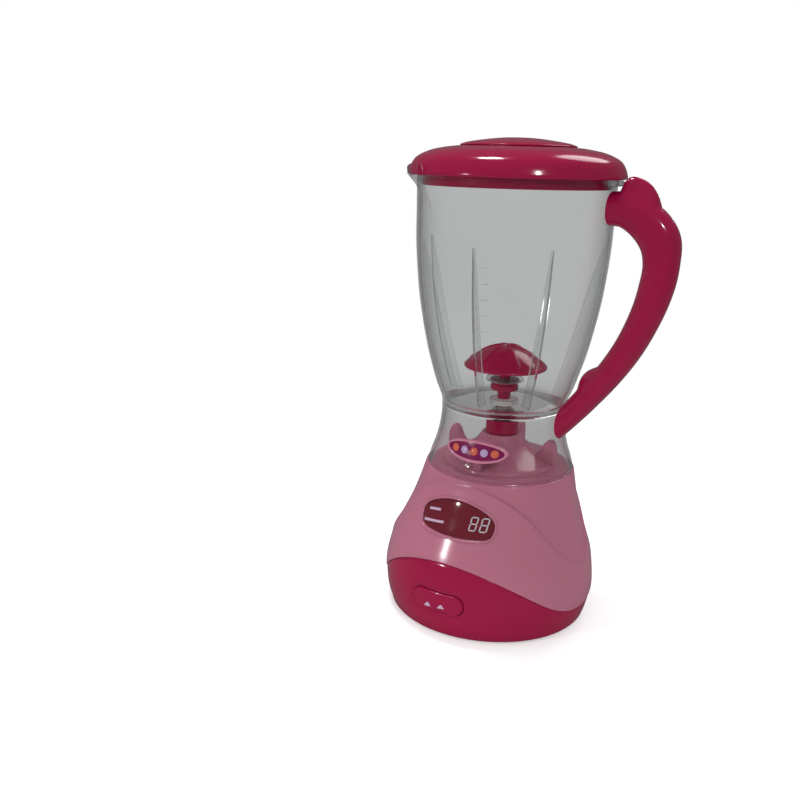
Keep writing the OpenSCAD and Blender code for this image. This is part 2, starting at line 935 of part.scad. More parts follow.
module handle_screws() {
    color(steel)
    for (q = boss_points)
        translate([q[0], half_w - 5.4, q[1]])
            rotate([-90, 0, 0]) {
                cylinder(r = 2.3, h = 1.5, $fn = 32);
                translate([0, 0, -8.6])
                    cylinder(r = 1.08, h = 9, $fn = 24);
            }
}

module jug_bush() {
    color(white_col)
    difference() {
        union() {
            translate([0, 0, waist_z - 1])
                cylinder(r = bush_r, h = floor_t + 1.6, $fn = 64);
            translate([0, 0, waist_z - 1])
                cylinder(r = bush_r + 1.6, h = 1, $fn = 64);
        }
        translate([0, 0, waist_z - 3])
            cylinder(r = shaft_r + run_gap, h = 10, $fn = 48);
    }
}

module floor_seal() {
    color(dark)
    translate([0, 0, floor_top])
        difference() {
            cylinder(r = bush_r + 1.4, h = 0.6, $fn = 64);
            translate([0, 0, -1])
                cylinder(r = bush_r, h = 3, $fn = 64);
        }
}

// ---------- spindle ----------
collar_z = floor_top + 0.8;
flange_z = floor_top + 5.8;
washer_z = flange_z + 4.6;
cap_z = washer_z + 8.2;
spindle_foot = turret_top + 1;

module spindle_shaft() {
    color(steel)
    translate([0, 0, spindle_foot])
        cylinder(r = shaft_r, h = cap_z + 6 - spindle_foot, $fn = 48);
}

module spool_collar() {
    color(magenta)
    difference() {
        union() {
            translate([0, 0, collar_z])
                cylinder(r = 3.6, h = flange_z - collar_z, $fn = 48);
            translate([0, 0, flange_z])
                cylinder(r1 = 7.4, r2 = 7.7, h = 2, $fn = 64);
            translate([0, 0, flange_z + 2])
                cylinder(r1 = 7.7, r2 = 6.6, h = 2.6, $fn = 64);
        }
        translate([0, 0, collar_z - 1])
            cylinder(r = shaft_r, h = 20, $fn = 48);
    }
}

module steel_washer() {
    color(steel)
    translate([0, 0, washer_z])
        difference() {
            cylinder(r = 8, h = 0.9, $fn = 64);
            translate([0, 0, -1])
                cylinder(r = shaft_r, h = 3, $fn = 48);
        }
}

module clear_washer() {
    color(clear_col)
    translate([0, 0, washer_z + 0.9])
        difference() {
            cylinder(r = 10.5, h = 0.9, $fn = 64);
            translate([0, 0, -1])
                cylinder(r = shaft_r, h = 3, $fn = 48);
        }
}

// Shallow dome of the cap: upper line, then the hollow underside
module juicing_cap() {
    dome = curve([[cap_r, cap_z], [cap_r - 0.1, cap_z + 1.3], [cap_r * 0.8, cap_z + 5],
        [cap_r * 0.53, cap_z + 9], [cap_r * 0.26, cap_z + 11.4], [0, cap_z + 12.2]], 3);
    hollow = curve([[cap_r - 1.4, cap_z], [cap_r * 0.78, cap_z + 3], [cap_r * 0.5, cap_z + 6.8],
        [cap_r * 0.24, cap_z + 9.2], [0, cap_z + 10]], 3);
    color(magenta)
    difference() {
        union() {
            rotate_extrude()
                polygon(concat(dome, [[0, cap_z + 10]], flip(hollow)));
            intersection() {
                rotate_extrude()
                    polygon(concat(inset(dome, -1), [[0, cap_z + 12.9], [0, cap_z + 8]],
                        [[cap_r - 2, cap_z]]));
                for (a = [0 : 60 : 300])
                    rotate([0, 0, a + 12])
                        translate([1, -0.9, cap_z + 0.5])
                            cube([cap_r - 2.5, 1.8, 20]);
            }
            translate([0, 0, washer_z + 1.8])
                cylinder(r = 3, h = cap_z + 10.6 - washer_z - 1.8, $fn = 48);
        }
        translate([0, 0, washer_z])
            cylinder(r = shaft_r, h = cap_z + 6 - washer_z, $fn = 48);
    }
}

module drive_key() {
    color(dark)
    difference() {
        union() {
            translate([0, 0, turret_top + 0.6])
                cylinder(r = 4.4, h = waist_z - 1.4 - turret_top - 0.6, $fn = 48);
            for (a = [0, 90])
                rotate([0, 0, a])
                    translate([-6.2, -1.1, slot_floor + 0.4])
                        cube([12.4, 2.2, turret_top + 0.8 - slot_floor - 0.4]);
            translate([0, 0, turret_top + 2.4])
                cylinder(r = 6, h = 1, $fn = 48);
        }
        translate([0, 0, spindle_foot])
            cylinder(r = shaft_r, h = 20, $fn = 48);
    }
}

// ---------- lid ----------
lid_r = rim_r + lid_over - 0.4;
lid_z = rim_z + 0.1;
tip_reach = lip_reach + 1.9;
disc_z = lid_z + 14.9;
plug_r = rim_r - clear_wall - 0.7;
plug_low = rim_z - 5;
point_h = 0.42;

// Pointed part of the lid over the pouring lip, drawn in by d
module lid_point(d) {
    translate([0, 0, lid_z - 1])
        linear_extrude(40)
            polygon([[0, lid_r * 0.74 - d], [-lid_r * 0.68, lid_r * 0.71 - d],
                [1 + d - tip_reach, 1.6], [d - tip_reach, 0.6], [d - tip_reach, -0.6],
                [1 + d - tip_reach, -1.6], [-lid_r * 0.68, -lid_r * 0.71 + d],
                [0, -lid_r * 0.74 + d]]);
}

function lid_line(w, d) = curve([[w - d, lid_z], [w - 0.4 - d, lid_z + 2.4],
    [w - 1.6 - d, lid_z + 5.6], [w - 3.6 - d, lid_z + 8.4 - d / 2], [w - 7 - d, lid_z + 10.6 - d],
    [w - 12.5 - d / 2, lid_z + 12.7 - d], [w - 19.5, lid_z + 14.1 - d], [disc_r * 0.9, lid_z + 14.9 - d]], 3);

module lid_form(d) {
    edge = lid_line(lid_r, d);
    wide = lid_line(tip_reach + 1.6, d);
    top = [[0, lid_z + 14.9 - d]];
    rotate_extrude()
        polygon(concat([[0, lid_z]], edge, top));
    intersection() {
        rotate_extrude()
            polygon(concat([[0, lid_z]], [for (q = wide) [q[0], lid_z + (q[1] - lid_z) * point_h]],
                [[0, lid_z + (14.9 - d) * point_h]]));
        lid_point(d);
    }
}

module lid_cover() {
    color(magenta)
    difference() {
        union() {
            lid_form(0);
            translate([0, 0, plug_low])
                cylinder(r = plug_r, h = lid_z + 1 - plug_low);
        }
        intersection() {
            lid_form(shell_wall);
            translate([0, 0, lid_z - 1])
                cylinder(r = plug_r - 2.2, h = 40);
        }
        translate([0, 0, plug_low - 1])
            cylinder(r = plug_r - 2.2, h = 8);
        translate([0, 0, plug_low + 1.2])
            rotate_extrude()
                translate([plug_r - 0.9, 0])
                    square([3, 1.6]);
    }
}

module lid_seal() {
    color(white_col)
    translate([0, 0, plug_low + 1.2])
        rotate_extrude()
            translate([plug_r - 0.9, 0])
                square([1.35, 1.6]);
}

module lid_disc() {
    line = curve([[disc_r, disc_z], [disc_r - 0.4, disc_z + 0.7], [disc_r - 4, disc_z + 1.9],
        [disc_r * 0.62, disc_z + 3.1], [disc_r * 0.3, disc_z + 4.2], [0, disc_z + 4.5]], 3);
    color(magenta)
    rotate_extrude()
        polygon(concat([[0, disc_z]], line));
}

base_shell();
base_band();
deck_turret();
output_bush();
display_frame();
display_window();
bottom_cover();
cover_screws();
battery_door();
door_pin();
door_screw();
battery_cells();
battery_contacts();
start_button();
push_switch();
circuit_board();
display_module();
gear_plate();
plate_screws();
motor();
motor_shaft();
motor_pinion();
drive_gear();
drive_shaft();
drive_dog();
jug_shell();
badge_rim();
badge_plate();
handle_back();
handle_front();
handle_screws();
jug_bush();
floor_seal();
spindle_shaft();
spool_collar();
steel_washer();
clear_washer();
juicing_cap();
drive_key();
lid_cover();
lid_disc();
lid_seal();
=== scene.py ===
import bisect
import json
import math

import bmesh
import bpy
from mathutils import Matrix, Vector


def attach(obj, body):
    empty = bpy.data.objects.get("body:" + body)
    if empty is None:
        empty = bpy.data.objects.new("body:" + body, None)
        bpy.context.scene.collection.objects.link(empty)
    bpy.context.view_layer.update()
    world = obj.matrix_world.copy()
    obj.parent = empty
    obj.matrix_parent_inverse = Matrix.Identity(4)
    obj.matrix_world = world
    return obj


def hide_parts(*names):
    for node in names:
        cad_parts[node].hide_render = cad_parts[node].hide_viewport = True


bl_info = {
    "name": "Toy blender",
    "version": (1, 0, 0),
    "blender": (4, 5, 0),
    "location": "View3D > Sidebar > Toy blender",
    "description": "Dresses the packed model of a toy blender with a clear jug",
    "category": "Object",
}

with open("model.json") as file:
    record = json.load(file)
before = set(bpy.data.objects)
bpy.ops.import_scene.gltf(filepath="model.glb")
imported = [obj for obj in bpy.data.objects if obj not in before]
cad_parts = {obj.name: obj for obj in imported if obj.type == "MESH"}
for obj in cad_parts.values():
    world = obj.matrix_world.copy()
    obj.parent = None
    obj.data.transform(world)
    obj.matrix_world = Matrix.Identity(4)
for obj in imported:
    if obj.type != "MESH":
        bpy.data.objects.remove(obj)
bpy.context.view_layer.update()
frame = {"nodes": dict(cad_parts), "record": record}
MM = 0.001
FACE_TURN = math.radians(-5.5)

# ---------------------------------------------------------------- outlines, in mm


def blend4(a, b, c, d, t):
    """Point between b and c on a smooth line through four points."""
    return [0.5 * (2 * q + (r - p) * t + (2 * p - 5 * q + 4 * r - s) * t * t
                   + (3 * q - p - 3 * r + s) * t ** 3) for p, q, r, s in zip(a, b, c, d)]


def curve(points, steps):
    """Smooth line through a list of points."""
    m = len(points) - 1
    out = []
    for i in range(m):
        a, d = points[max(i - 1, 0)], points[min(i + 2, m)]
        out += [blend4(a, points[i], points[i + 1], d, k / steps) for k in range(steps)]
    return out + [list(points[m])]


def reading(line, key):
    """First value of a line's point where its second is key, between the points given."""
    i = min(max(bisect.bisect_right(line, key, key=lambda q: q[1]), 1), len(line) - 1)
    a, b = line[i - 1], line[i]
    share = (key - a[1]) / max(b[1] - a[1], 1e-9)
    return a[0] + (b[0] - a[0]) * min(max(share, 0.0), 1.0)


FOOT_Z, DECK_Z, DECK_R, BASE_R, WALL = 1.2, 84.0, 41.2, 58.6, 2.2
BASE_RULE = [(0.70, -0.06), (0.78, 0), (0.86, 0.035), (0.955, 0.12), (1, 0.235), (0.925, 0.357),
             (0.80, 0.476), (0.572, 0.595), (0.36, 0.714), (0.163, 0.86), (0, 1), (-0.08, 1.06)]
LEAN, LEAN_Z, LEAN_TO = math.radians(3.5), 76.0, math.radians(209)
FOOT_X = BASE_R * math.sin(LEAN) * math.cos(LEAN_TO)
FOOT_Y = BASE_R * math.sin(LEAN) * math.sin(LEAN_TO)
POST_R = 45.77                   # from the middle of the foot to the cover's posts
BORE_R, HUB_TOP = 5.2, 101.6     # bore through the deck and its hub, and the hub's top
BASE_LINE = curve([(DECK_R + (BASE_R - DECK_R) * f, FOOT_Z + (DECK_Z - FOOT_Z) * g)
                   for f, g in BASE_RULE], 8)
WAIST_R, WAIST_Z, JUG_R, RIM_Z, CLEAR_WALL = 34.0, 118.0, 51.4, 240.0, 2.2
SKIRT_R = DECK_R - 0.5
SKIRT_LINE = curve([(SKIRT_R, 84.1), (SKIRT_R - 1.6, 90), (WAIST_R + 2.7, 97),
                    (WAIST_R + 0.9, 105), (WAIST_R, 113), (WAIST_R, WAIST_Z)], 6)
BOWL_RULE = [(0, 0), (0.035, 0.03), (0.10, 0.21), (0.18, 0.38), (0.26, 0.53), (0.36, 0.68),
             (0.48, 0.825), (0.60, 0.92), (0.73, 0.985), (0.86, 1), (1, 1.02)]
BOWL_LINE = curve([(WAIST_R + (JUG_R - WAIST_R) * g, WAIST_Z + (RIM_Z - WAIST_Z) * f)
                   for f, g in BOWL_RULE], 6)
RIM_R = BOWL_LINE[-1][0]
FLOOR_TOP = WAIST_Z + 2.5
LIP_REACH, TIP_REACH = 65.3, 65.4   # from the axis to the tips of the jug's lip and the lid
LIP_DROP, LIP_HALF, LIP_WALL = 22.0, math.radians(24), 1.7
LIP_NOSE = 0.022                 # half the angle of the lip's rounded tip
FLOOR_HOLE, FIN_WALL, FIRST_MARK_Z = 6.4, 1.0, 165.7
BUTTON_X, BUTTON_W, BUTTON_H, BUTTON_Z = -1.3, 30.0, 10.8, DECK_Z * 0.249
DISPLAY_W, DISPLAY_H, DISPLAY_Z = 46.0, 46.0 * 0.46, DECK_Z * 0.772
DOME_R = 34.0                    # the window's upper edge; its lower edge is a wider arc
CORNER = 14                      # how sharp the window's corners are
FLANGE_Y = -53.2                 # front of the flange that holds the button in
BADGE_Z, BADGE_X, BADGE_Y = DECK_Z + 16, 18.2, 6.6   # middle and half-axes of the border
DISC_R, CAP_R, CAP_Z = 30.0, 22.5, FLOOR_TOP + 18.6
RIB_STEP, RIB_TURN = 60, 102     # degrees between the cap's ribs, and to one from the front
LID_R, LID_Z = RIM_R + 4.5, RIM_Z + 0.1


def smooth(lo, hi, x):
    """Rises smoothly from 0 to 1 as x goes from lo to hi."""
    t = min(max((x - lo) / (hi - lo), 0.0), 1.0)
    return t * t * (3 - 2 * t)


def wave_height(x, top, low, w, r, slope):
    """Height of the wave line at distance x from the middle of the face."""
    s = math.radians(slope)
    rise = top - low
    small = (w * math.sin(s) - rise * math.cos(s)) / (1 - math.cos(s)) - r
    x = abs(x)
    x1 = r * math.sin(s)
    x2 = w - small * math.sin(s)
    if x <= x1:
        return top - r + math.sqrt(r * r - x * x)
    if x < x2:
        z1 = top - r * (1 - math.cos(s))
        return z1 - (x - x1) * math.tan(s)
    end = w + small * 0.5
    x = min(x, end)
    return low + small - math.sqrt(max(small * small - (x - w) ** 2, 0.0))


def band_top(x):
    """Height of the magenta band's upper edge."""
    return wave_height(x, DECK_Z * 0.504, DECK_Z * 0.149, BASE_R * 1.007, BASE_R * 1.126, 48)


def panel_top(x):
    """Height of the upper edge of the raised front panel."""
    return wave_height(x, DECK_Z - 1, DECK_Z * 0.37, BASE_R * 1.05, BASE_R * 0.75, 56)


def bell(turn, z, lift=0.0):
    """Radius of the leaning bell at an angle from -Y and a height, moved out by lift."""
    toward = math.cos(turn - math.pi / 2 - LEAN_TO)
    c, s, dz = math.cos(LEAN), math.sin(LEAN), z - LEAN_Z
    r = BASE_R
    for _ in range(6):
        a = r * toward
        along = a * c + dz * s
        level = dz * c - a * s + LEAN_Z
        r += reading(BASE_LINE, level) + lift - math.sqrt(r * r - a * a + along * along)
    return r


def foot_ring(turn, r):
    """Distance from the axis to a circle of radius r round the middle of the foot."""
    d = FOOT_X * math.sin(turn) - FOOT_Y * math.cos(turn)
    return d + math.sqrt(r * r - FOOT_X ** 2 - FOOT_Y ** 2 + d * d)


def line_height(height_of, turn, start):
    """Height at which a wave line crosses the bell, at an angle from -Y."""
    z, side = start, math.sin(turn - FACE_TURN)
    for _ in range(40):
        z += 0.4 * (height_of(bell(turn, z) * side) - z)
    return z


def place(r, turn, z):
    """Point at a radius, an angle from -Y towards +X and a height, in metres."""
    return Vector((r * math.sin(turn) * MM, -r * math.cos(turn) * MM, z * MM))


def on_face(x, z, lift):
    """Point on the bell's face, x to the right of its middle, standing out by lift."""
    turn = FACE_TURN
    for _ in range(8):
        r = bell(turn, z, lift)
        turn = FACE_TURN + math.asin(max(min(x / r, 1), -1))
    return place(r, turn, z)


def on_skirt(x, z, lift):
    """Point on the jug's skirt, x to the right of its front, standing out by lift."""
    r = reading(SKIRT_LINE, z) + lift
    return place(r, math.asin(max(min(x / r, 1), -1)), z)


def turns(count):
    """Angles of a full turn in even steps."""
    return [2 * math.pi * k / count for k in range(count)]


def circle(x, y, r, count=32):
    """Points of a circle."""
    return [(x + r * math.cos(a), y + r * math.sin(a)) for a in turns(count)]


# ---------------------------------------------------------------- mesh makers


def finish_mesh(name, bm, sharp=38.0):
    """Merge doubles, point faces outwards, shade smooth with sharp creases kept."""
    bmesh.ops.remove_doubles(bm, verts=bm.verts, dist=2e-6)
    bmesh.ops.dissolve_degenerate(bm, edges=bm.edges, dist=1e-6)
    bmesh.ops.recalc_face_normals(bm, faces=bm.faces)
    for f in bm.faces:
        f.smooth = True
    for e in bm.edges:
        if len(e.link_faces) == 2 and e.calc_face_angle(0) > math.radians(sharp):
            e.smooth = False
    mesh = bpy.data.meshes.new(name)
    bm.to_mesh(mesh)
    bm.free()
    obj = bpy.data.objects.new(name, mesh)
    bpy.context.scene.collection.objects.link(obj)
    return obj


def add_sections(bm, sections, around, across):
    """Join sections of equal length side by side; each way can close on itself."""
    rows = [[bm.verts.new(p) for p in s] for s in sections]
    n, m = len(rows), len(rows[0])
    for i in range(n if around else n - 1):
        for j in range(m if across else m - 1):
            quad = [rows[i][j], rows[(i + 1) % n][j], rows[(i + 1) % n][(j + 1) % m],
                    rows[i][(j + 1) % m]]
            bm.faces.new(quad)
    return rows


def section_piece(name, sections, across=True, sharp=38.0):
    """Piece made of sections joined side by side all the way round."""
    bm = bmesh.new()
    add_sections(bm, sections, True, across)
    return finish_mesh(name, bm, sharp)


def turned_piece(name, line, steps, across=True):
    """Solid of revolution of a closed line, or of one that starts and ends on the axis."""
    return section_piece(name, [[place(r, turn, z) for r, z in line] for turn in turns(steps)],
                         across=across)


def add_prism(bm, low, high):
    """Closed prism between two outlines of equal length."""
    a = [bm.verts.new(p) for p in low]
    b = [bm.verts.new(p) for p in high]
    n = len(a)
    for i in range(n):
        bm.faces.new([a[i], a[(i + 1) % n], b[(i + 1) % n], b[i]])
    bm.faces.new(list(reversed(a)))
    bm.faces.new(b)


def add_cross_prism(bm, outline, y0, y1, turn=0.0):
    """Prism along Y of an outline in x and z, turned about the vertical axis."""
    spin = Matrix.Rotation(turn, 4, "Z")
    add_prism(bm, *([spin @ Vector((x * MM, y * MM, z * MM)) for x, z in outline]
                    for y in (y0, y1)))


def round_edges(obj, width):
    """Round a mesh's sharp edges."""
    bevel = obj.modifiers.new("round", "BEVEL")
    bevel.width, bevel.segments, bevel.limit_method = width * MM, 2, "ANGLE"
    apply_modifiers(obj)


def apply_modifiers(obj):
    """Bake an object's modifiers into a plain mesh."""
    bpy.context.view_layer.update()
    graph = bpy.context.evaluated_depsgraph_get()
    baked = bpy.data.meshes.new_from_object(obj.evaluated_get(graph))
    baked.name = obj.name
    obj.modifiers.clear()
    old = obj.data
    obj.data = baked
    if old.users == 0:
        bpy.data.meshes.remove(old)


def cut_away(obj, cutter, sharp):
    """Cut one mesh out of another and drop the cutter."""
    mod = obj.modifiers.new("cut", "BOOLEAN")
    mod.operation = "DIFFERENCE"
    mod.solver = "EXACT"
    mod.object = cutter
    apply_modifiers(obj)
    bpy.data.objects.remove(cutter, do_unlink=True)
    bm = bmesh.new()
    bm.from_mesh(obj.data)
    for e in bm.edges:
        e.smooth = not (len(e.link_faces) == 2 and e.calc_face_angle(0) > math.radians(sharp))
    for f in bm.faces:
        f.smooth = True
    bm.to_mesh(obj.data)
    bm.free()


def join_into(obj, others):
    """Add other meshes to one object's mesh."""
    bm = bmesh.new()
    for o in [obj] + others:
        bm.from_mesh(o.data)
    bm.to_mesh(obj.data)
    bm.free()
    for o in others:
        bpy.data.objects.remove(o, do_unlink=True)


def set_piece(obj, body, slot, nodes=(), finish=None):
    """Give a piece its finish, which is the slot's own unless another finish is named, put it on
    its body and hide the nodes that it stands for.
    """
    obj.data.materials.clear()
    obj.data.materials.append(FINISH[finish or slot])
    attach(obj, body)
    if nodes:
        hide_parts(*nodes)


# ---------------------------------------------------------------- nodes and repeated parts


def feed(tree, node, inputs):
    """Give a node's inputs their values, or link them to the sockets that feed them."""
    for label, value in dict(inputs).items():
        if isinstance(value, bpy.types.NodeSocket):
            tree.links.new(value, node.inputs[label])
        else:
            node.inputs[label].default_value = value
    return node


def make(tree, kind, inputs=(), **settings):
    """New node with its settings and inputs."""
    node = tree.nodes.new(kind)
    for label, value in settings.items():
        setattr(node, label, value)
    return feed(tree, node, inputs)


def maths(tree, operation, *values):
    """Result of a sum on values or sockets."""
    return make(tree, "ShaderNodeMath", enumerate(values), operation=operation).outputs[0]


def new_tree(name, inputs):
    """Geometry tree with named inputs after its geometry."""
    tree = bpy.data.node_groups.new(name, "GeometryNodeTree")
    tree.interface.new_socket("Geometry", in_out="INPUT", socket_type="NodeSocketGeometry")
    for label, kind, value in inputs:
        s = tree.interface.new_socket(label, in_out="INPUT", socket_type=kind)
        if value is not None:
            s.default_value = value
    tree.interface.new_socket("Geometry", in_out="OUTPUT", socket_type="NodeSocketGeometry")
    return tree


def ending(tree, copies, material):
    """Make the copies real, give them their material and put them out."""
    real = make(tree, "GeometryNodeRealizeInstances", {"Geometry": copies}).outputs["Geometry"]
    painted = make(tree, "GeometryNodeSetMaterial", {"Geometry": real, "Material": material})
    make(tree, "NodeGroupOutput", {"Geometry": painted.outputs["Geometry"]})
    return tree


def ring_tree():
    """Repeats a piece round the vertical axis."""
    tree = new_tree("Round the axis", [("Count", "NodeSocketInt", 5),
                                       ("First turn", "NodeSocketFloat", 0.0),
                                       ("Turn step", "NodeSocketFloat", 0.7854),
                                       ("Material", "NodeSocketMaterial", None)])
    src = make(tree, "NodeGroupInput").outputs
    points = make(tree, "GeometryNodePoints", {"Count": src["Count"]}).outputs[0]
    index = make(tree, "GeometryNodeInputIndex").outputs[0]
    turn = maths(tree, "ADD", maths(tree, "MULTIPLY", index, src["Turn step"]), src["First turn"])
    turned = make(tree, "ShaderNodeCombineXYZ", {"Z": turn}).outputs[0]
    copies = make(tree, "GeometryNodeInstanceOnPoints",
                  {"Points": points, "Instance": src["Geometry"], "Rotation": turned})
    return ending(tree, copies.outputs["Instances"], src["Material"])


def row_tree():
    """Repeats a piece along a straight row."""
    tree = new_tree("In a row", [("Count", "NodeSocketInt", 6),
                                 ("Step", "NodeSocketVector", (0, 0, 0.0095)),
                                 ("Material", "NodeSocketMaterial", None)])
    src = make(tree, "NodeGroupInput").outputs
    row = make(tree, "GeometryNodeMeshLine", {"Count": src["Count"], "Offset": src["Step"]},
               mode="OFFSET").outputs[0]
    copies = make(tree, "GeometryNodeInstanceOnPoints",
                  {"Points": row, "Instance": src["Geometry"]})
    return ending(tree, copies.outputs["Instances"], src["Material"])


def repeat(obj, tree, values):
    """Run a repeating tree on an object and keep the plain mesh."""
    mod = obj.modifiers.new("repeat", "NODES")
    mod.node_group = tree
    ids = {s.name: s.identifier for s in tree.interface.items_tree
           if s.item_type == "SOCKET" and s.in_out == "INPUT"}
    for label, value in values.items():
        mod[ids[label]] = value
    apply_modifiers(obj)


# ---------------------------------------------------------------- materials


def surface_group():
    """Moulded surface: slow tone drift, fine grain and handling marks."""
    g = bpy.data.node_groups.new("Moulded surface", "ShaderNodeTree")
    for label, kind, value in (("Color", "NodeSocketColor", (0.5, 0.5, 0.5, 1)),
                               ("Drift", "NodeSocketFloat", 0.06),
                               ("Roughness", "NodeSocketFloat", 0.2),
                               ("Marks", "NodeSocketFloat", 0.08),
                               ("Grain size", "NodeSocketFloat", 900.0)):
        s = g.interface.new_socket(label, in_out="INPUT", socket_type=kind)
        s.default_value = value
    for label, kind in (("Color", "NodeSocketColor"), ("Roughness", "NodeSocketFloat"),
                        ("Height", "NodeSocketFloat")):
        g.interface.new_socket(label, in_out="OUTPUT", socket_type=kind)
    src = make(g, "NodeGroupInput").outputs
    spot = make(g, "ShaderNodeTexCoord").outputs["Object"]
    slow, fine, streak = (
        make(g, "ShaderNodeTexNoise", {"Vector": spot, "Scale": scale, "Detail": detail}).outputs[
            "Fac"] for scale, detail in ((14.0, 2.0), (src["Grain size"], 2.0), (160.0, 5.0)))
    span = make(g, "ShaderNodeMapRange", {
        "Value": slow, "From Min": 0.3, "From Max": 0.7,
        "To Min": maths(g, "ADD", maths(g, "MULTIPLY", src["Drift"], -1.0), 1.0),
        "To Max": maths(g, "ADD", src["Drift"], 1.0)})
    tint = make(g, "ShaderNodeVectorMath", {0: src["Color"], "Scale": span.outputs["Result"]},
                operation="SCALE")
    rub = maths(g, "MULTIPLY_ADD", streak, src["Marks"], src["Roughness"])
    make(g, "NodeGroupOutput", {"Color": tint.outputs[0], "Roughness": rub, "Height": fine})


def moulded(name, color, roughness, drift, marks, grain=900.0, bump=0.02, metallic=0.0,
            coat=0.0):
    """A finished surface built on the moulded surface group."""
    mat = bpy.data.materials.new(name)
    mat.use_nodes = True
    tree = mat.node_tree
    group = make(tree, "ShaderNodeGroup",
                 {"Color": (*color, 1), "Drift": drift, "Roughness": roughness, "Marks": marks,
                  "Grain size": grain},
                 node_tree=bpy.data.node_groups["Moulded surface"]).outputs
    relief = make(tree, "ShaderNodeBump",
                  {"Strength": bump, "Distance": 0.0004, "Height": group["Height"]})
    feed(tree, tree.nodes["Principled BSDF"],
         {"Base Color": group["Color"], "Roughness": group["Roughness"],
          "Normal": relief.outputs["Normal"], "Metallic": metallic, "Coat Weight": coat,
          "Coat Roughness": 0.06, "IOR": 1.5})
    return mat


def clear_plastic(name, color, roughness):
    """See-through plastic that lets light through to what it holds, with thin-looking edges."""
    mat = moulded(name, color, roughness, 0.02, 0.03, 300.0, 0.012)
    tree = mat.node_tree
    rays = make(tree, "ShaderNodeLightPath").outputs
    bounce = maths(tree, "SUBTRACT", rays["Is Glossy Ray"], rays["Is Transmission Ray"])
    soft = maths(tree, "MAXIMUM", rays["Is Shadow Ray"], rays["Is Diffuse Ray"])
    let_by = maths(tree, "MULTIPLY_ADD", maths(tree, "MAXIMUM", bounce, soft), -0.92, 1.0)
    facing = make(tree, "ShaderNodeLayerWeight").outputs["Facing"]
    thin = maths(tree, "MULTIPLY_ADD", maths(tree, "POWER", facing, 3.0), -0.6, 1.0)
    feed(tree, tree.nodes["Principled BSDF"],
         {"Transmission Weight": 1.0, "IOR": 1.24, "Alpha": maths(tree, "MULTIPLY", let_by, thin)})
    return mat


def linear(r, g, b):
    """Colour as seen on a screen, 0 to 255, turned into scene values."""
    return tuple(((c / 255 + 0.055) / 1.055) ** 2.4 if c > 10 else c / 3295 for c in (r, g, b))


def make_finishes(colours):
    """Every finish of the record's material slots."""
    surface_group()
    return {
        "pink_plastic": moulded("Pale pink plastic", colours.bell, 0.17, 0.015, 0.03, 900, 0.008),
        "magenta_plastic": moulded("Magenta plastic", colours.trim, 0.12, 0.02, 0.03, 900, 0.008,
                                   coat=0.1),
        "clear_plastic": clear_plastic("Clear plastic", colours.jug, 0.02),
        "window_plastic": moulded("Dark red window", colours.window, 0.07, 0.08, 0.05, 900, 0.01,
                                  coat=1.0),
        "badge_plastic": moulded("Badge plastic", linear(120, 22, 76), 0.15, 0.05, 0.06),
        "white_plastic": moulded("White plastic", (0.68, 0.68, 0.65), 0.35, 0.03, 0.1),
        "dark_plastic": moulded("Dark plastic", (0.03, 0.028, 0.03), 0.35, 0.1, 0.15),
        "steel": moulded("Bright steel", (0.62, 0.62, 0.64), 0.22, 0.03, 0.15, 1500, 0.05,
                         metallic=1.0),
        "brass": moulded("Brass bush", (0.60, 0.42, 0.16), 0.28, 0.05, 0.12, metallic=1.0),
        "rubber": moulded("Pale seal rubber", (0.46, 0.43, 0.44), 0.6, 0.15, 0.15, 1200, 0.3),
        "cell": moulded("Cell jacket", (0.05, 0.06, 0.08), 0.3, 0.05, 0.1, metallic=0.4),
        "board": moulded("Circuit board", (0.01, 0.09, 0.03), 0.4, 0.08, 0.15),
    }


FINISH = {}
TREES = {}

# ---------------------------------------------------------------- settings


class ToyColours(bpy.types.PropertyGroup):
    """Colours of the toy, as scene values."""
    bell: bpy.props.FloatVectorProperty(name="Bell", description="Pale pink of the base",
                                        default=linear(176, 106, 128), subtype="COLOR", size=3,
                                        min=0, max=1)
    trim: bpy.props.FloatVectorProperty(name="Trim", description="Magenta of the lid and handle",
                                        default=linear(150, 15, 62), subtype="COLOR", size=3,
                                        min=0, max=1)
    jug: bpy.props.FloatVectorProperty(name="Jug", description="Tint of the clear jug",
                                       default=(0.89, 0.90, 0.90), subtype="COLOR", size=3,
                                       min=0, max=1)
    window: bpy.props.FloatVectorProperty(name="Window", description="Dark red of the window",
                                          default=linear(104, 22, 38), subtype="COLOR", size=3,
                                          min=0, max=1)


class ToySizes(bpy.types.PropertyGroup):
    """Sizes of the details that the dressing adds."""
    panel_lift: bpy.props.FloatProperty(name="Panel step", default=0.001, unit="LENGTH",
                                        description="Height of the raised front panel")
    fin_depth: bpy.props.FloatProperty(name="Fin depth", default=0.0075, unit="LENGTH",
                                       description="Depth of the fins in the jug")
    tick_step: bpy.props.FloatProperty(name="Tick step", default=0.008, unit="LENGTH",
                                       description="Distance between the level marks")
    tick_count: bpy.props.IntProperty(name="Ticks", default=5, min=1,
                                      description="Number of level marks")


class PieceOperator:
    """What the piece operators share."""
    bl_options = {"REGISTER", "UNDO"}

    @classmethod
    def poll(cls, context):
        return context.scene is not None


# ---------------------------------------------------------------- the base


def post(radius, angle, r, low, high, middle=(0.0, 0.0)):
    """Closed round post inside the bell."""
    angle = math.radians(angle)
    ring = circle(middle[0] + radius * math.cos(angle), middle[1] + radius * math.sin(angle), r)
    bm = bmesh.new()
    add_prism(bm, *([Vector((x * MM, y * MM, z * MM)) for x, y in ring] for z in (low, high)))
    return finish_mesh("post", bm)


def face_patch(bm, outline, low, high):
    """Prism on the bell's face between two lifts."""
    add_prism(bm, *([on_face(x, z, lift) for x, z in outline] for lift in (low, high)))


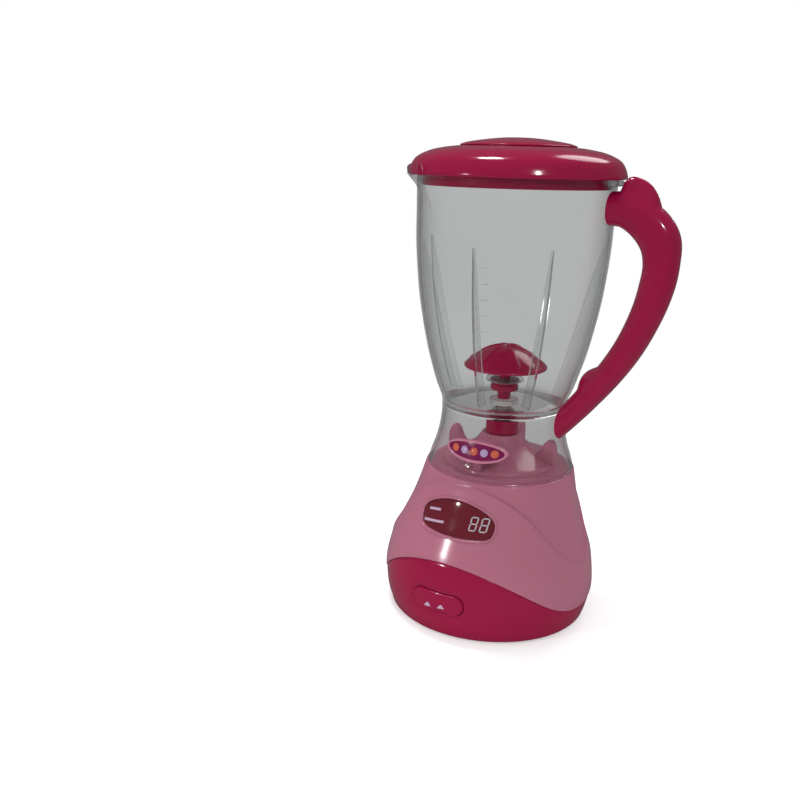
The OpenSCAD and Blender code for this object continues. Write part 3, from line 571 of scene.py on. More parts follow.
def face_prism(name, outline, lift_low, lift_high):
    """Face patch as an object of its own, used to cut an opening."""
    bm = bmesh.new()
    face_patch(bm, outline, lift_low, lift_high)
    return finish_mesh(name, bm)


def bar_outline(w, h, count=28):
    """Outline of a bar with round ends at the button's place, as (x, z)."""
    r = h / 2
    pts = []
    for side in (1, -1):
        for k in range(count + 1):
            a = math.pi / 2 - math.pi * k / count
            pts.append((BUTTON_X + side * (w / 2 - r + r * math.cos(a)),
                        BUTTON_Z + side * r * math.sin(a)))
    return pts


def button_distance(x, z):
    """Distance outside the button's outline; negative inside."""
    dx = max(abs(x - BUTTON_X) - (BUTTON_W - BUTTON_H) / 2, 0)
    return math.hypot(dx, z - BUTTON_Z) - BUTTON_H / 2


def window_reach(a, d):
    """Distance from the window's middle to its outline in direction a, moved out by d."""
    c, s = math.cos(a), math.sin(a)
    reach = []
    for r, z0 in ((DOME_R, DISPLAY_H / 2 - DOME_R), (5 * DOME_R, 5 * DOME_R - DISPLAY_H / 2),
                  (DISPLAY_W / 2, 0)):
        r += d
        reach.append(s * z0 + math.sqrt(max(r * r - (c * z0) ** 2, 0)))
    return sum(r ** -CORNER for r in reach) ** (-1 / CORNER)


def window_point(a, d, share=1.0):
    """Point of the window's outline in direction a, or a share of the way to it, as (x, z)."""
    reach = window_reach(a, d) * share
    return reach * math.cos(a), DISPLAY_Z + reach * math.sin(a)


class TOYBLENDER_OT_base(PieceOperator, bpy.types.Operator):
    """Bell, magenta band and the hub on the deck"""
    bl_idname = "toyblender.base"
    bl_label = "Base"

    def execute(self, context):
        lift = context.scene.toy_sizes.panel_lift / MM
        shell, band = [], []
        plateau = SKIRT_R - CLEAR_WALL - 0.7
        for turn in turns(360):
            # Heights of the band's upper edge and of the panel's, at this angle
            zw = line_height(band_top, turn, 25)
            zs = line_height(panel_top, turn, 60)
            line = [(bell(turn, zw, -WALL), zw), (bell(turn, zw, -0.1), zw),
                    (bell(turn, zw + 0.3, lift - 0.1), zw + 0.06)]
            for k in range(16):
                z = zw + 0.4 + (zs - 1.4 - zw - 0.4) * k / 15
                line.append((bell(turn, z, lift), z))
            line += [(bell(turn, zs - 1.0, lift + 0.22), zs - 1.0),
                     (bell(turn, zs - 0.6, lift + 0.2), zs - 0.6),
                     (bell(turn, zs - 0.2, lift * 0.6), zs - 0.2),
                     (bell(turn, zs + 0.4, 0.04), zs + 0.4)]
            for k in range(14):
                z = zs + 0.8 + (DECK_Z - 0.6 - zs - 0.8) * k / 13
                line.append((bell(turn, z), z))
            edge = bell(turn, DECK_Z)
            line += [(edge - 0.12, DECK_Z - 0.2), (edge - 0.5, DECK_Z),
                     (plateau + 0.5, DECK_Z), (plateau + 0.1, DECK_Z + 0.15),
                     (plateau, DECK_Z + 0.6), (plateau - 0.1, DECK_Z + 1.7),
                     (plateau - 0.5, DECK_Z + 2), (BORE_R, DECK_Z + 2), (BORE_R, DECK_Z - WALL)]
            for k in range(16):
                z = DECK_Z - WALL + (zw - DECK_Z + WALL) * k / 16
                line.append((bell(turn, z, -WALL), z))
            shell.append([place(r, turn, z) for r, z in line])

            foot = bell(turn, FOOT_Z)
            line = [(bell(turn, FOOT_Z, -WALL), FOOT_Z), (foot - 0.1, FOOT_Z),
                    (bell(turn, FOOT_Z + 0.2, 0.25), FOOT_Z + 0.2)]
            top = zw - 0.9
            for k in range(30):
                z = FOOT_Z + 0.6 + (top - FOOT_Z - 0.6) * k / 29
                r = bell(turn, z, 0.5)
                if math.cos(turn - FACE_TURN) > 0:
                    x = r * math.sin(turn - FACE_TURN)
                    r -= 0.75 * (1 - smooth(0.9, 2.4, button_distance(x, z)))
                line.append((r, z))
            line += [(bell(turn, zw, 0.45), zw - 0.45), (bell(turn, zw, 0.2), zw - 0.12),
                     (bell(turn, zw, -0.1), zw - 0.03)]
            for k in range(8):
                z = zw - 0.03 + (FOOT_Z + 1.2 - zw) * k / 7
                line.append((max(bell(turn, z, -WALL), foot_ring(turn, POST_R + 4.5)), z))
            band.append([place(r, turn, z) for r, z in line])
        body = section_piece("bell_shell", shell, sharp=32)
        cut_away(body, face_prism("window_cut", [window_point(a, 0.2) for a in turns(96)], -4, 4),
                 32)
        # The bottom cover's four posts and the gear plate's three
        posts = [post(POST_R, a, 3.6, 3.5, 46, (FOOT_X, FOOT_Y)) for a in (45, 135, 225, 315)]
        posts += [post(31, a, 3.2, 68.4, 83) for a in (30, 150, 270)]
        join_into(body, posts)
        set_piece(body, "base", "pink_plastic", ["base_shell"])
        band = section_piece("wave_band", band, sharp=32)
        cut_away(band, face_prism("button_cut", bar_outline(BUTTON_W + 0.7, BUTTON_H + 0.7),
                                  -9, 4), 32)
        set_piece(band, "base", "magenta_plastic", ["base_band"])

        cone = curve([(32, DECK_Z + 2), (30.5, 88), (22, 91.5), (15, 96), (11, HUB_TOP - 0.3),
                      (10.6, HUB_TOP)], 8)
        cone += [(9.5, HUB_TOP), (BORE_R, HUB_TOP), (BORE_R, DECK_Z + 2)]
        hub = turned_piece("deck_hub", cone, 128)
        bm = bmesh.new()
        side = curve([(15, 86.6), (23, 94.4), (26, 100), (28.5, 101.5), (30.5, 100.5), (32, 96),
                      (32, 87)], 4)
        add_cross_prism(bm, side, -2.5, 2.5)
        lug = finish_mesh("deck_lug", bm, 50)
        round_edges(lug, 0.7)
        repeat(lug, TREES["ring"], {"Count": 4, "First turn": 0.0, "Turn step": math.pi / 2,
                                    "Material": FINISH["pink_plastic"]})
        join_into(hub, [lug])
        set_piece(hub, "base", "pink_plastic", ["deck_turret"])
        return {"FINISHED"}


# Ends of a figure's strokes, as shares of its width and height
SEGMENTS = (((0, 1), (1, 1)), ((1, 1), (1, 0.5)), ((1, 0.5), (1, 0)), ((1, 0), (0, 0)),
            ((0, 0), (0, 0.5)), ((0, 0.5), (0, 1)), ((0, 0.5), (1, 0.5)))


class TOYBLENDER_OT_controls(PieceOperator, bpy.types.Operator):
    """Start button, window frame, window and its plain figures"""
    bl_idname = "toyblender.controls"
    bl_label = "Controls"

    def execute(self, context):
        rim_line = ((0.15, -3), (0.15, 0.9), (0.0, 1.3), (-0.3, 1.5), (-0.7, 1.5), (-1.0, 1.3),
                    (-1.2, 0.9), (-1.2, -3))
        rim = section_piece("window_rim", [[on_face(*window_point(a, d), lift)
                                            for d, lift in rim_line] for a in turns(120)],
                            sharp=60)
        set_piece(rim, "base", "pink_plastic", ["display_frame"])

        pane_line = ((0, 0.75), (0.3, 0.75), (0.6, 0.72), (0.85, 0.6), (0.97, 0.45), (1, 0.25),
                     (1, -2.4), (0, -2.4))
        pane = section_piece("window_pane", [[on_face(*window_point(a, -1.25, share), lift)
                                              for share, lift in pane_line] for a in turns(120)],
                             across=False, sharp=50)
        set_piece(pane, "base", "window_plastic", ["display_window"])

        # Two plain figures at the right, each stroke with pointed ends
        bm = bmesh.new()
        for x0 in (8.9, 14.4):
            for ends in SEGMENTS:
                p, q = (Vector((x0 + x * 3.3 + z * 0.8, DISPLAY_Z - 4.2 + z * 6.8))
                        for x, z in ends)
                along = (q - p).normalized()
                side = Vector((-along.y, along.x)) * 0.29
                p, q = p + along * 0.42, q - along * 0.42
                pts = [p - along * 0.3, p - side, q - side, q + along * 0.3, q + side, p + side]
                face_patch(bm, [(v.x, v.y) for v in pts], 0.6, 0.96)
        digits = finish_mesh("window_digits", bm, 20)
        set_piece(digits, "base", "white_plastic", finish="glow")
        # Two plain bars at the left, each from one end to the other
        bm = bmesh.new()
        for x0, z0, x1, z1 in ((-17.2, 65.7, -9.5, 67.1), (-19.3, 59.5, -6.0, 61.5)):
            ends = [(x0 + (x1 - x0) * k / 6, z0 + (z1 - z0) * k / 6) for k in range(7)]
            face_patch(bm, [(x, z - 0.6) for x, z in ends] + [(x, z + 0.6) for x, z in ends[::-1]],
                       0.6, 1.0)
        bars = finish_mesh("window_bars", bm, 20)
        set_piece(bars, "base", "white_plastic", finish="pale_bar")

        shell = ((0, -8.2), (1.0, -8.2), (1.0, -0.6), (1.0, 0.3), (0.985, 0.7), (0.955, 0.94),
                 (0.90, 1.01), (0.7, 1.03), (0.4, 1.03), (0, 1.03))
        sections = [[on_face(BUTTON_X + (x - BUTTON_X) * s, BUTTON_Z + (z - BUTTON_Z) * s, lift)
                     for s, lift in shell] for x, z in bar_outline(BUTTON_W, BUTTON_H, 24)]
        cap = section_piece("start_button_cap", sections, across=False, sharp=60)
        bm = bmesh.new()
        add_cross_prism(bm, bar_outline(BUTTON_W + 2.4, BUTTON_H + 2.4, 16), FLANGE_Y,
                        FLANGE_Y + 1.2, FACE_TURN)
        add_cross_prism(bm, circle(0, BUTTON_Z, 1.6, 24), FLANGE_Y + 0.7, -46, FACE_TURN)
        join_into(cap, [finish_mesh("button_flange", bm)])
        set_piece(cap, "button", "magenta_plastic", ["start_button"])
        # Two plain marks, lower left corners from the button's middle
        bm = bmesh.new()
        for x0, z0 in ((-8.6, -3.6), (-0.4, -2.8)):
            arrow = ((0, 0), (2.0, 0.1), (4.2, 0.4), (3.2, 1.9), (2.3, 2.5), (1.3, 1.7))
            face_patch(bm, [(x0 + x, BUTTON_Z + z0 + z) for x, z in arrow], 0.7, 1.07)
        marks = finish_mesh("button_marks", bm, 20)
        set_piece(marks, "button", "white_plastic", finish="pale_bar")
        return {"FINISHED"}


# ---------------------------------------------------------------- the jug


def from_lip(turn):
    """Angle from -X, where the lip is, of an angle from -Y."""
    return (turn + 1.5 * math.pi) % (2 * math.pi) - math.pi


def lip_tip(z):
    """Distance of the lip's tip from the axis at a height."""
    share = max((z - RIM_Z + LIP_DROP) / LIP_DROP, 0)
    return reading(BOWL_LINE, z) - 1 + (LIP_REACH - RIM_R + 1) * share ** 1.6


def lip_radius(turn, z, d):
    """Radius of the pouring lip at an angle from -X, drawn in by d; 0 beside it."""
    a = abs(turn)
    if z < RIM_Z - LIP_DROP or a > LIP_HALF:
        return 0.0
    t = lip_tip(min(z, RIM_Z)) - d
    r = reading(BOWL_LINE, min(z, RIM_Z)) - 2.4 - d
    if a < LIP_NOSE:
        return t - 0.84 * (a / LIP_NOSE) ** 2
    x0, y0 = t - 1.2, 1.3
    x1, y1 = r * math.cos(LIP_HALF), r * math.sin(LIP_HALF)
    s, c = math.sin(a), math.cos(a)
    k = (x0 * s - y0 * c) / ((y1 - y0) * c - (x1 - x0) * s)
    if k < 0:
        return x0 / c
    return math.hypot(x0 + k * (x1 - x0), y0 + k * (y1 - y0))


class TOYBLENDER_OT_jug(PieceOperator, bpy.types.Operator):
    """Clear jug with its pouring lip, fins and level marks"""
    bl_idname = "toyblender.jug"
    bl_label = "Jug"

    def execute(self, context):
        sections = []
        outer = [(r, z) for r, z in SKIRT_LINE + BOWL_LINE[1:]]
        inner = [(r, z) for r, z in BOWL_LINE if z > FLOOR_TOP + 1.6]
        skirt_in = [(r - CLEAR_WALL, z) for r, z in reversed(SKIRT_LINE) if z < WAIST_Z - 1]
        for turn in turns(288):
            off = from_lip(turn)
            row = [(max(r, lip_radius(off, z, 0)), z) for r, z in outer[:-1]]
            r_out = max(outer[-1][0], lip_radius(off, RIM_Z, 0))
            r_in = max(outer[-1][0] - CLEAR_WALL, lip_radius(off, RIM_Z, LIP_WALL))
            row += [(r_out, RIM_Z - 0.5), (r_out - 0.15, RIM_Z - 0.12), (r_out - 0.5, RIM_Z),
                    (r_in + 0.5, RIM_Z), (r_in + 0.15, RIM_Z - 0.12), (r_in, RIM_Z - 0.5)]
            row += [(max(r - CLEAR_WALL, lip_radius(off, z, LIP_WALL)), z)
                    for r, z in reversed(inner[:-1])]
            r0 = reading(BOWL_LINE, FLOOR_TOP + 1.2) - CLEAR_WALL
            row += [(r0 - 0.3, FLOOR_TOP + 0.7), (r0 - 1.2, FLOOR_TOP + 0.15),
                    (r0 - 2.4, FLOOR_TOP), (20, FLOOR_TOP), (FLOOR_HOLE, FLOOR_TOP),
                    (FLOOR_HOLE, WAIST_Z), (20, WAIST_Z), (WAIST_R - CLEAR_WALL - 0.8, WAIST_Z),
                    (WAIST_R - CLEAR_WALL - 0.1, WAIST_Z - 0.6)] + skirt_in
            row.append((SKIRT_R - CLEAR_WALL, 84.1))
            sections.append([place(r, turn, z) for r, z in row])
        shell = section_piece("clear_jug", sections, sharp=45)
        depth = context.scene.toy_sizes.fin_depth / MM
        bm = bmesh.new()
        z0, z1, rows = FLOOR_TOP + 3, RIM_Z - 33, 24
        edge, wall = [], []
        for k in range(rows + 1):
            s = k / rows
            z = z0 + (z1 - z0) * s
            r = reading(BOWL_LINE, z) - CLEAR_WALL
            edge.append((r - depth * (1 - s ** 3 * 0.9), z))
            wall.append((r + 0.5, z))
        outline = edge + wall[::-1]
        add_cross_prism(bm, outline, -FIN_WALL / 2, FIN_WALL / 2)
        fin = finish_mesh("jug_fin", bm, 50)
        repeat(fin, TREES["ring"], {"Count": 5, "First turn": -math.pi, "Turn step": math.pi / 4,
                                    "Material": FINISH["clear_plastic"]})
        bm = bmesh.new()
        cube = bmesh.ops.create_cube(bm, size=1)["verts"]
        bmesh.ops.scale(bm, vec=(5.6 * MM, 14 * MM, 3.0 * MM), verts=cube)
        bmesh.ops.translate(bm, vec=((RIM_R + 0.3) * MM, 0, (RIM_Z - 1.6) * MM), verts=cube)
        tab = finish_mesh("rim_tab", bm)
        round_edges(tab, 0.6)
        join_into(shell, [fin, tab])
        set_piece(shell, "jug", "clear_plastic", ["jug_shell"])

        sizes = context.scene.toy_sizes
        z0 = FIRST_MARK_Z
        z1 = z0 + (sizes.tick_count - 1) * sizes.tick_step / MM
        r0, r1 = (reading(BOWL_LINE, z) - CLEAR_WALL - 0.12 for z in (z0, z1))
        bm = bmesh.new()
        low, high = [], []
        for x, z in ((3.2, -0.16), (7.6, -0.16), (7.6, 0.16), (3.2, 0.16)):
            low.append(place(r0 + 0.35, x / r0, z0 + z))
            high.append(place(r0 - 0.3, x / r0, z0 + z))
        add_prism(bm, low, high)
        tick = finish_mesh("level_marks", bm)
        repeat(tick, TREES["row"], {"Count": sizes.tick_count,
                                    "Step": (0, -(r1 - r0) * MM / (sizes.tick_count - 1),
                                             sizes.tick_step),
                                    "Material": FINISH["mark"]})
        set_piece(tick, "jug", "clear_plastic", finish="mark")
        return {"FINISHED"}


class TOYBLENDER_OT_badge(PieceOperator, bpy.types.Operator):
    """Oval badge on the skirt, with plain coloured beads"""
    bl_idname = "toyblender.badge"
    bl_label = "Badge"

    def execute(self, context):
        def oval(x, z, lift, a):
            return on_skirt(x * math.cos(a), BADGE_Z + z * math.sin(a), lift)
        ring = ((-0.9, 0.02), (-0.9, 1.3), (-1.1, 1.65), (-1.4, 1.8), (-1.8, 1.8), (-2.1, 1.55),
                (-2.3, 1.1), (-2.3, 0.02))
        rim = section_piece("badge_border", [[oval(BADGE_X + d, BADGE_Y + d, lift, a)
                                              for d, lift in ring] for a in turns(96)], sharp=60)
        set_piece(rim, "jug", "pink_plastic", ["badge_rim"], "pale_rim")
        face = ((0, 1.2), (0.4, 1.2), (0.8, 1.15), (1, 1.05), (1, 0.02), (0, 0.02))
        half_x, half_z = BADGE_X - 2.2, BADGE_Y - 2.2
        plate = section_piece("badge_face", [[oval(half_x * s, half_z * s, lift, a)
                                              for s, lift in face] for a in turns(96)],
                              across=False, sharp=50)
        set_piece(plate, "jug", "badge_plastic", ["badge_plate"])
        for name, places, colour in (("badge_beads_warm", (-11.2, 0, 11.2), "bead_warm"),
                                     ("badge_beads_pale", (-5.6, 5.6), "bead_pale")):
            bm = bmesh.new()
            for x0 in places:
                rows = [[on_skirt(x0 + s * math.cos(a), BADGE_Z + s * math.sin(a), lift)
                         for s, lift in ((0, 1.9), (1.0, 1.85), (1.8, 1.65), (2.1, 1.2), (0, 1.1))]
                        for a in turns(24)]
                add_sections(bm, rows, True, False)
            beads = finish_mesh(name, bm, 60)
            set_piece(beads, "jug", "badge_plastic", finish=colour)
        return {"FINISHED"}


# ---------------------------------------------------------------- the handle

# Middle line of the handle and half its depth
PATH_RULE = [(44, WAIST_Z + 108, 8.3), (52, WAIST_Z + 108.3, 8.4), (60, WAIST_Z + 107.6, 8.8),
             (69.5, WAIST_Z + 102.5, 9.7), (76.5, WAIST_Z + 94, 9.9), (78.38, WAIST_Z + 83, 8.8),
             (77.2, WAIST_Z + 71, 8.5), (73.4, WAIST_Z + 56.5, 7.9), (66.4, WAIST_Z + 39.5, 7.4),
             (57.2, WAIST_Z + 24, 7), (46.5, WAIST_Z + 9.5, 6.7), (37.5, WAIST_Z - 1.5, 6.5),
             (29, WAIST_Z - 11, 6.4)]


HANDLE_HALF = 9                  # half the handle's width across Y
SQUARE = 0.86                    # below 1 the handle's section is squarer than an oval


def rest_rise(x, z):
    """Height of the thumb rest on top of the handle."""
    s = ((59.5 - x) / 4) ** 4 if x < 59.5 else ((x - 59.5) / 10) ** 2
    return 7.6 * max(1 - s, 0) if z > WAIST_Z + 96 else 0.0


def nub_rise(z):
    """Height of the nub on the handle's inside."""
    return 3 * max(1 - ((z - WAIST_Z - 17) / 6.5) ** 2, 0)


class TOYBLENDER_OT_handle(PieceOperator, bpy.types.Operator):
    """Two halves of the curved handle, cut to the jug's wall"""
    bl_idname = "toyblender.handle"
    bl_label = "Handle"

    def execute(self, context):
        path = curve(PATH_RULE, 9)
        for side, name, node in ((1, "handle_half_back", "handle_back"),
                                 (-1, "handle_half_front", "handle_front")):
            sections = []
            for i, (x, z, half) in enumerate(path):
                a, b = path[max(i - 1, 0)], path[min(i + 1, len(path) - 1)]
                h = Vector((b[0] - a[0], b[1] - a[1])).normalized()
                row = []
                for k in range(33):
                    t = math.pi * k / 32
                    c, s = math.cos(t), math.sin(t)
                    v = HANDLE_HALF * (0.86 + 0.014 * half) * abs(s) ** SQUARE
                    u = math.copysign(abs(c) ** SQUARE, c) * half
                    u += rest_rise(x, z) * c ** 8 if c > 0 else -nub_rise(z) * (-c) ** 3
                    if k in (0, 32):
                        row.append((u - math.copysign(0.3, c), 0.0))
                        v = 0.22
                    row.append((u, v))
                row[-2:] = row[:-3:-1]
                sections.append([Vector(((x - h[1] * u) * MM, side * v * MM, (z + h[0] * u) * MM))
                                 for u, v in row])
            bm = bmesh.new()
            rows = add_sections(bm, sections, False, True)
            bm.faces.new(rows[0])
            bm.faces.new(rows[-1])
            half = finish_mesh(name, bm, 50)
            body = [(r, z) for r, z in SKIRT_LINE + BOWL_LINE[1:]]
            cut_away(half, turned_piece("jug_form", [(0, body[0][1])] + body + [(0, RIM_Z)], 144,
                                        across=False), 50)
            # Ends along Y and radius: head recess and clear hole, or a blind hole in front
            holes = ((3.6, 20, 2.5), (-1, 5, 1.4)) if side > 0 else ((-5.8, 1, 1.1),)
            for x, z, _ in (PATH_RULE[3], PATH_RULE[8]):
                for y0, y1, r in holes:
                    bm = bmesh.new()
                    add_cross_prism(bm, circle(x, z, r), y0, y1)
                    cut_away(half, finish_mesh("screw_hole", bm), 50)
            set_piece(half, "jug", "magenta_plastic", [node])
        return {"FINISHED"}


# ---------------------------------------------------------------- cap and lid


class TOYBLENDER_OT_spindle(PieceOperator, bpy.types.Operator):
    """Ribbed cap and the spool under it"""
    bl_idname = "toyblender.spindle"
    bl_label = "Cap and spool"

    def execute(self, context):
        dome = curve([(CAP_R, CAP_Z), (CAP_R - 0.1, CAP_Z + 1.3), (CAP_R * 0.8, CAP_Z + 5),
                      (CAP_R * 0.53, CAP_Z + 9), (CAP_R * 0.26, CAP_Z + 11.4),
                      (0, CAP_Z + 12.2)], 8)
        hollow = curve([(CAP_R - 1.4, CAP_Z), (CAP_R * 0.78, CAP_Z + 3), (CAP_R * 0.5, CAP_Z + 6.8),
                        (CAP_R * 0.24, CAP_Z + 9.2)], 8)
        hollow += [(3.0, CAP_Z + 9.7), (3.0, CAP_Z - 6), (2.9, CAP_Z - 6.4), (2.0, CAP_Z - 6.4),
                   (2.0, CAP_Z + 5.9), (0, CAP_Z + 5.9)]
        sections = []
        for turn in turns(240):
            off = (math.degrees(turn) - RIB_TURN + RIB_STEP / 2) % RIB_STEP - RIB_STEP / 2
            row = []
            for r, z in dome[::-1]:
                away = abs(r * math.sin(math.radians(off)))
                rise = 0.75 * (1 - smooth(0.5, 1.3, away)) * smooth(0.0, 1.5, r) \
                    * (1 - smooth(CAP_R - 3.2, CAP_R - 1.2, r))
                row.append((r, z + rise))
            sections.append([place(r, turn, z) for r, z in row + hollow])
        cap = section_piece("ribbed_cap", sections, across=False, sharp=50)
        set_piece(cap, "spindle", "magenta_plastic", ["juicing_cap"])
        zc, zf = FLOOR_TOP + 0.8, FLOOR_TOP + 5.8
        line = [(2, zc), (3.4, zc), (3.6, zc + 0.2), (3.6, zf - 0.4), (3.9, zf), (7.2, zf),
                (7.45, zf + 0.2), (7.7, zf + 2), (7.6, zf + 2.3), (6.7, zf + 4.3), (6.4, zf + 4.6),
                (2, zf + 4.6)]
        spool = turned_piece("spool", line, 96)
        set_piece(spool, "spindle", "magenta_plastic", ["spool_collar"])
        return {"FINISHED"}


POINT_FLAT = 0.42                # height of the pointed end as a share of the lid's


def lid_outline(turn):
    """Radius of the lid at an angle from -X, with its pointed end."""
    a = abs(turn)
    tip = TIP_REACH
    x0, y0 = tip - 1.0, 1.6
    x1, y1 = LID_R * 0.68, LID_R * 0.71
    s, c = math.sin(a), math.cos(a)
    if a > 1.0:
        return LID_R
    k = (x0 * s - y0 * c) / ((y1 - y0) * c - (x1 - x0) * s)
    r = x0 / c if k < 0 else math.hypot(x0 + k * (x1 - x0), y0 + k * (y1 - y0))
    if k < 0:
        r = min(r, tip / c - 0.5 * abs(y0 / 1.6) * (a / 0.026) ** 2)
    return max(r, LID_R)


def point_line(reach):
    """Upper line of the lid's pointed end as (z, r), from the middle out to its wall."""
    w = TIP_REACH + 1.6
    rule = curve([(w - 19.5, 14.1), (w - 12.5, 12.7), (w - 7, 10.6), (w - 3.6, 8.4), (w - 1.6, 5.6),
                  (w - 0.4, 2.4), (w, 0)], 6)
    flat = [(LID_Z + z * POINT_FLAT, r) for r, z in [(0.0, 14.1)] + rule]
    return [(reading(flat, r), r) for r in (reach * k / 24 for k in range(25))]


class TOYBLENDER_OT_lid(PieceOperator, bpy.types.Operator):
    """Lid with its pointed end, and the round disc on it"""
    bl_idname = "toyblender.lid"
    bl_label = "Lid"

    def execute(self, context):
        w = LID_R
        top = curve([(w - 0.4, LID_Z), (w - 0.1, LID_Z + 1.0), (w - 0.4, LID_Z + 2.4),
                     (w - 1.6, LID_Z + 5.6), (w - 3.6, LID_Z + 8.4), (w - 7, LID_Z + 10.6),
                     (w - 12.5, LID_Z + 12.7), (w - 19.5, LID_Z + 14.1),
                     (DISC_R + 1.4, LID_Z + 14.75)], 6)
        top += [(DISC_R + 0.6, LID_Z + 14.6), (DISC_R + 0.2, LID_Z + 14.3),
                (DISC_R - 0.3, LID_Z + 14.3), (DISC_R - 1, LID_Z + 14.85), (20, LID_Z + 14.9),
                (0, LID_Z + 14.9)]
        plug, low = RIM_R - CLEAR_WALL - 0.7, RIM_Z - 5
        under = [(w - 0.8, LID_Z), (plug, LID_Z), (plug, low + 2.8), (plug - 0.9, low + 2.8),
                 (plug - 0.9, low + 1.2), (plug, low + 1.2), (plug, low + 0.3), (plug - 0.3, low),
                 (plug - 1.9, low), (plug - 2.2, low + 0.3), (plug - 2.2, LID_Z + 7.8),
                 (36, LID_Z + 11.9), (25, LID_Z + 12.6), (0, LID_Z + 12.7)]
        sections = []
        for turn in turns(288):
            reach = lid_outline(from_lip(turn))
            row = list(top[::-1])
            if reach > w + 0.05:
                edge = reach - 0.45
                level = point_line(edge)
                first = next(j for j, (r, z) in enumerate(row)
                             if r > 40 and z < reading(level, r))
                start = row[first - 1][0]
                left = len(row) - first
                ends = []
                for k in range(left):
                    r = start + (edge - start) * min((k + 1) / max(left - 4, 1), 1.0)
                    ends.append((r, reading(level, r)))
                z = ends[-1][1]
                ends[-4:] = [(edge, z), (reach - 0.12, z - 0.15), (reach, z - 0.5),
                             (reach - 0.3, LID_Z)]
                row = row[:first] + ends
            low = [(max(r, reach - 0.8) if r > plug + 0.5 else r, z) for r, z in under]
            sections.append([place(r, turn, z) for r, z in row + low])
        lid = section_piece("lid_shell", sections, across=False, sharp=45)
        set_piece(lid, "lid", "magenta_plastic", ["lid_cover"])
        z = LID_Z + 14.9
        line = curve([(DISC_R - 0.1, z + 0.05), (DISC_R, z + 0.3), (DISC_R - 0.4, z + 0.8),
                      (DISC_R - 4, z + 1.9), (DISC_R * 0.62, z + 3.1), (DISC_R * 0.3, z + 4.2),
                      (0, z + 4.5)], 8)
        disc = turned_piece("lid_top_disc", [(0, z + 0.02)] + line, 160, across=False)
        set_piece(disc, "lid", "magenta_plastic", ["lid_disc"])
        return {"FINISHED"}


# ---------------------------------------------------------------- the rest


class TOYBLENDER_OT_finishes(PieceOperator, bpy.types.Operator):
    """Finishes for every piece that the model carries over"""
    bl_idname = "toyblender.finishes"
    bl_label = "Finishes"

    def execute(self, context):
        FINISH.update(make_finishes(context.scene.toy_colours))
        FINISH["glow"] = moulded("Pale figures", linear(186, 176, 182), 0.3, 0.02, 0.05)
        FINISH["pale_bar"] = moulded("Pale bars", linear(192, 164, 188), 0.25, 0.03, 0.05)
        FINISH["mark"] = moulded("Level marks", linear(196, 196, 198), 0.35, 0.03, 0.05)
        FINISH["pale_rim"] = moulded("Badge border", linear(198, 124, 148), 0.15, 0.03, 0.05,
                                     coat=0.4)
        FINISH["bead_warm"] = moulded("Orange beads", linear(205, 96, 70), 0.2, 0.04, 0.05)
        FINISH["bead_pale"] = moulded("Lilac beads", linear(176, 150, 190), 0.2, 0.04, 0.05)
        TREES["ring"], TREES["row"] = ring_tree(), row_tree()
        slots = {s["node"]: s["material_slot"] for s in frame["record"]["subparts"]}
        for name, obj in frame["nodes"].items():
            if not obj.material_slots:
                obj.data.materials.append(FINISH[slots[name]])
            for slot in obj.material_slots:
                slot.link = "OBJECT"
                slot.material = FINISH[slots[name]]
        return {"FINISHED"}


# Share of the white backdrop that gloss and clear plastic show
SEEN_BY = (("Is Glossy Ray", 0.12), ("Is Transmission Ray", 0.58))


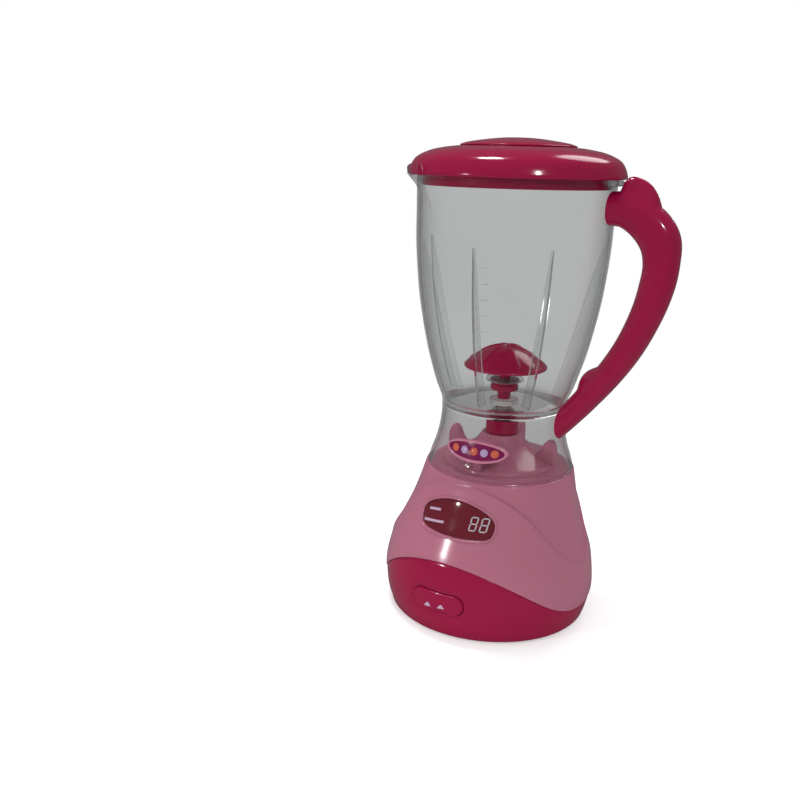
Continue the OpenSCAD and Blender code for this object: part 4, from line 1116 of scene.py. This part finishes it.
class TOYBLENDER_OT_stage(PieceOperator, bpy.types.Operator):
    """Floor, lamps, world and camera"""
    bl_idname = "toyblender.stage"
    bl_label = "Stage"

    def execute(self, context):
        scene = context.scene
        scene.view_settings.view_transform = "Standard"
        bm = bmesh.new()
        bmesh.ops.create_grid(bm, x_segments=1, y_segments=1, size=40.0)
        floor = finish_mesh("floor", bm)
        mat = bpy.data.materials.new("Pale floor")
        mat.use_nodes = True
        tree = mat.node_tree
        spot = make(tree, "ShaderNodeTexCoord").outputs["Object"]
        away = make(tree, "ShaderNodeVectorMath", {0: spot}, operation="LENGTH").outputs["Value"]
        shade, glow = (make(tree, "ShaderNodeMapRange", {
            "Value": away, "From Min": 0.10, "From Max": 0.60, "To Min": near,
            "To Max": far}).outputs["Result"] for near, far in ((0.85, 0.0), (0.4, 1.0)))
        rays = make(tree, "ShaderNodeLightPath").outputs
        keep = maths(tree, "MULTIPLY_ADD", rays["Is Glossy Ray"], -0.85, 1.0)
        seen = rays["Is Camera Ray"]
        for ray, weight in SEEN_BY + (("Is Diffuse Ray", 0.5),):
            seen = maths(tree, "MAXIMUM", seen, maths(tree, "MULTIPLY", rays[ray], weight))
        feed(tree, tree.nodes["Principled BSDF"],
             {"Roughness": 0.9, "Specular IOR Level": 0.0, "Emission Strength": 1.0,
              "Base Color": maths(tree, "MULTIPLY", keep, shade),
              "Emission Color": maths(tree, "MULTIPLY", glow, seen)})
        floor.data.materials.append(mat)

        world = bpy.data.worlds.new("Studio")
        scene.world = world
        world.use_nodes = True
        tree = world.node_tree
        tree.nodes.clear()
        rays = make(tree, "ShaderNodeLightPath").outputs
        last = make(tree, "ShaderNodeBackground",
                    {"Color": (0.98, 0.99, 1, 1), "Strength": 0.68}).outputs[0]
        for ray, strength in SEEN_BY + (("Is Camera Ray", 1.0),):
            plain = make(tree, "ShaderNodeBackground",
                         {"Color": (1, 1, 1, 1), "Strength": strength}).outputs[0]
            last = make(tree, "ShaderNodeMixShader",
                        {"Fac": rays[ray], 1: last, 2: plain}).outputs[0]
        make(tree, "ShaderNodeOutputWorld", {"Surface": last})

        # Name, place, width in metres and power in watts
        lamps = (("key", (-0.50, -0.86, 0.35), 0.03, 1.7),
                 ("ceiling", (-0.25, 0.05, 1.1), 0.2, 4.0),
                 ("fill", (0.75, -0.75, 0.9), 0.06, 2.0), ("back", (0.2, 0.9, 1.1), 0.6, 3.0))
        for name, spot, size, power in lamps:
            lamp = bpy.data.lights.new(name, "AREA")
            lamp.shape = "DISK"
            lamp.size = size
            lamp.energy = power
            obj = bpy.data.objects.new(name, lamp)
            scene.collection.objects.link(obj)
            obj.location = spot
            aim = Vector((0, 0, 0.13)) - Vector(spot)
            obj.rotation_euler = aim.to_track_quat("-Z", "Y").to_euler()

        phi, pitch, roll = math.radians(29), math.radians(15.4), math.radians(1.5)
        cam = bpy.data.cameras.new("Photo view")
        cam.lens, cam.sensor_width = 39.6, 36.0
        cam.clip_start = 0.01
        obj = bpy.data.objects.new("Photo view", cam)
        scene.collection.objects.link(obj)
        c, s = math.cos(phi), math.sin(phi)
        aside, back, height = -57.5, 471.5, 248
        spot = Vector((aside * c + back * s, aside * s - back * c, height)) * MM
        right = Vector((c, s, 0))
        ahead = Vector((-math.cos(pitch) * s, math.cos(pitch) * c, -math.sin(pitch)))
        up = right.cross(ahead)
        turn = Matrix((right, up, -ahead)).transposed() @ Matrix.Rotation(roll, 3, "Z")
        obj.matrix_world = Matrix.Translation(spot) @ turn.to_4x4()
        scene.camera = obj
        return {"FINISHED"}


class TOYBLENDER_PT_panel(bpy.types.Panel):
    """Lists the operators in the order in which they are run"""
    bl_idname = "TOYBLENDER_PT_panel"
    bl_label = "Toy blender"
    bl_space_type = "VIEW_3D"
    bl_region_type = "UI"
    bl_category = "Toy blender"

    def draw(self, context):
        column = self.layout.column()
        for name in ("bell", "trim", "jug", "window"):
            column.prop(context.scene.toy_colours, name)
        for name in ("panel_lift", "fin_depth", "tick_step", "tick_count"):
            column.prop(context.scene.toy_sizes, name)
        for op in OPERATORS:
            column.operator(op.bl_idname)


OPERATORS = (TOYBLENDER_OT_finishes, TOYBLENDER_OT_base, TOYBLENDER_OT_controls,
             TOYBLENDER_OT_jug, TOYBLENDER_OT_badge, TOYBLENDER_OT_handle,
             TOYBLENDER_OT_spindle, TOYBLENDER_OT_lid, TOYBLENDER_OT_stage)
CLASSES = (ToyColours, ToySizes) + OPERATORS + (TOYBLENDER_PT_panel,)


def register():
    for cls in CLASSES:
        bpy.utils.register_class(cls)
    bpy.types.Scene.toy_colours = bpy.props.PointerProperty(type=ToyColours)
    bpy.types.Scene.toy_sizes = bpy.props.PointerProperty(type=ToySizes)


def unregister():
    del bpy.types.Scene.toy_sizes
    del bpy.types.Scene.toy_colours
    for cls in reversed(CLASSES):
        bpy.utils.unregister_class(cls)


def main():
    register()
    for op in OPERATORS:
        group, name = op.bl_idname.split(".")
        getattr(getattr(bpy.ops, group), name)()


if __name__ == "__main__":
    main()
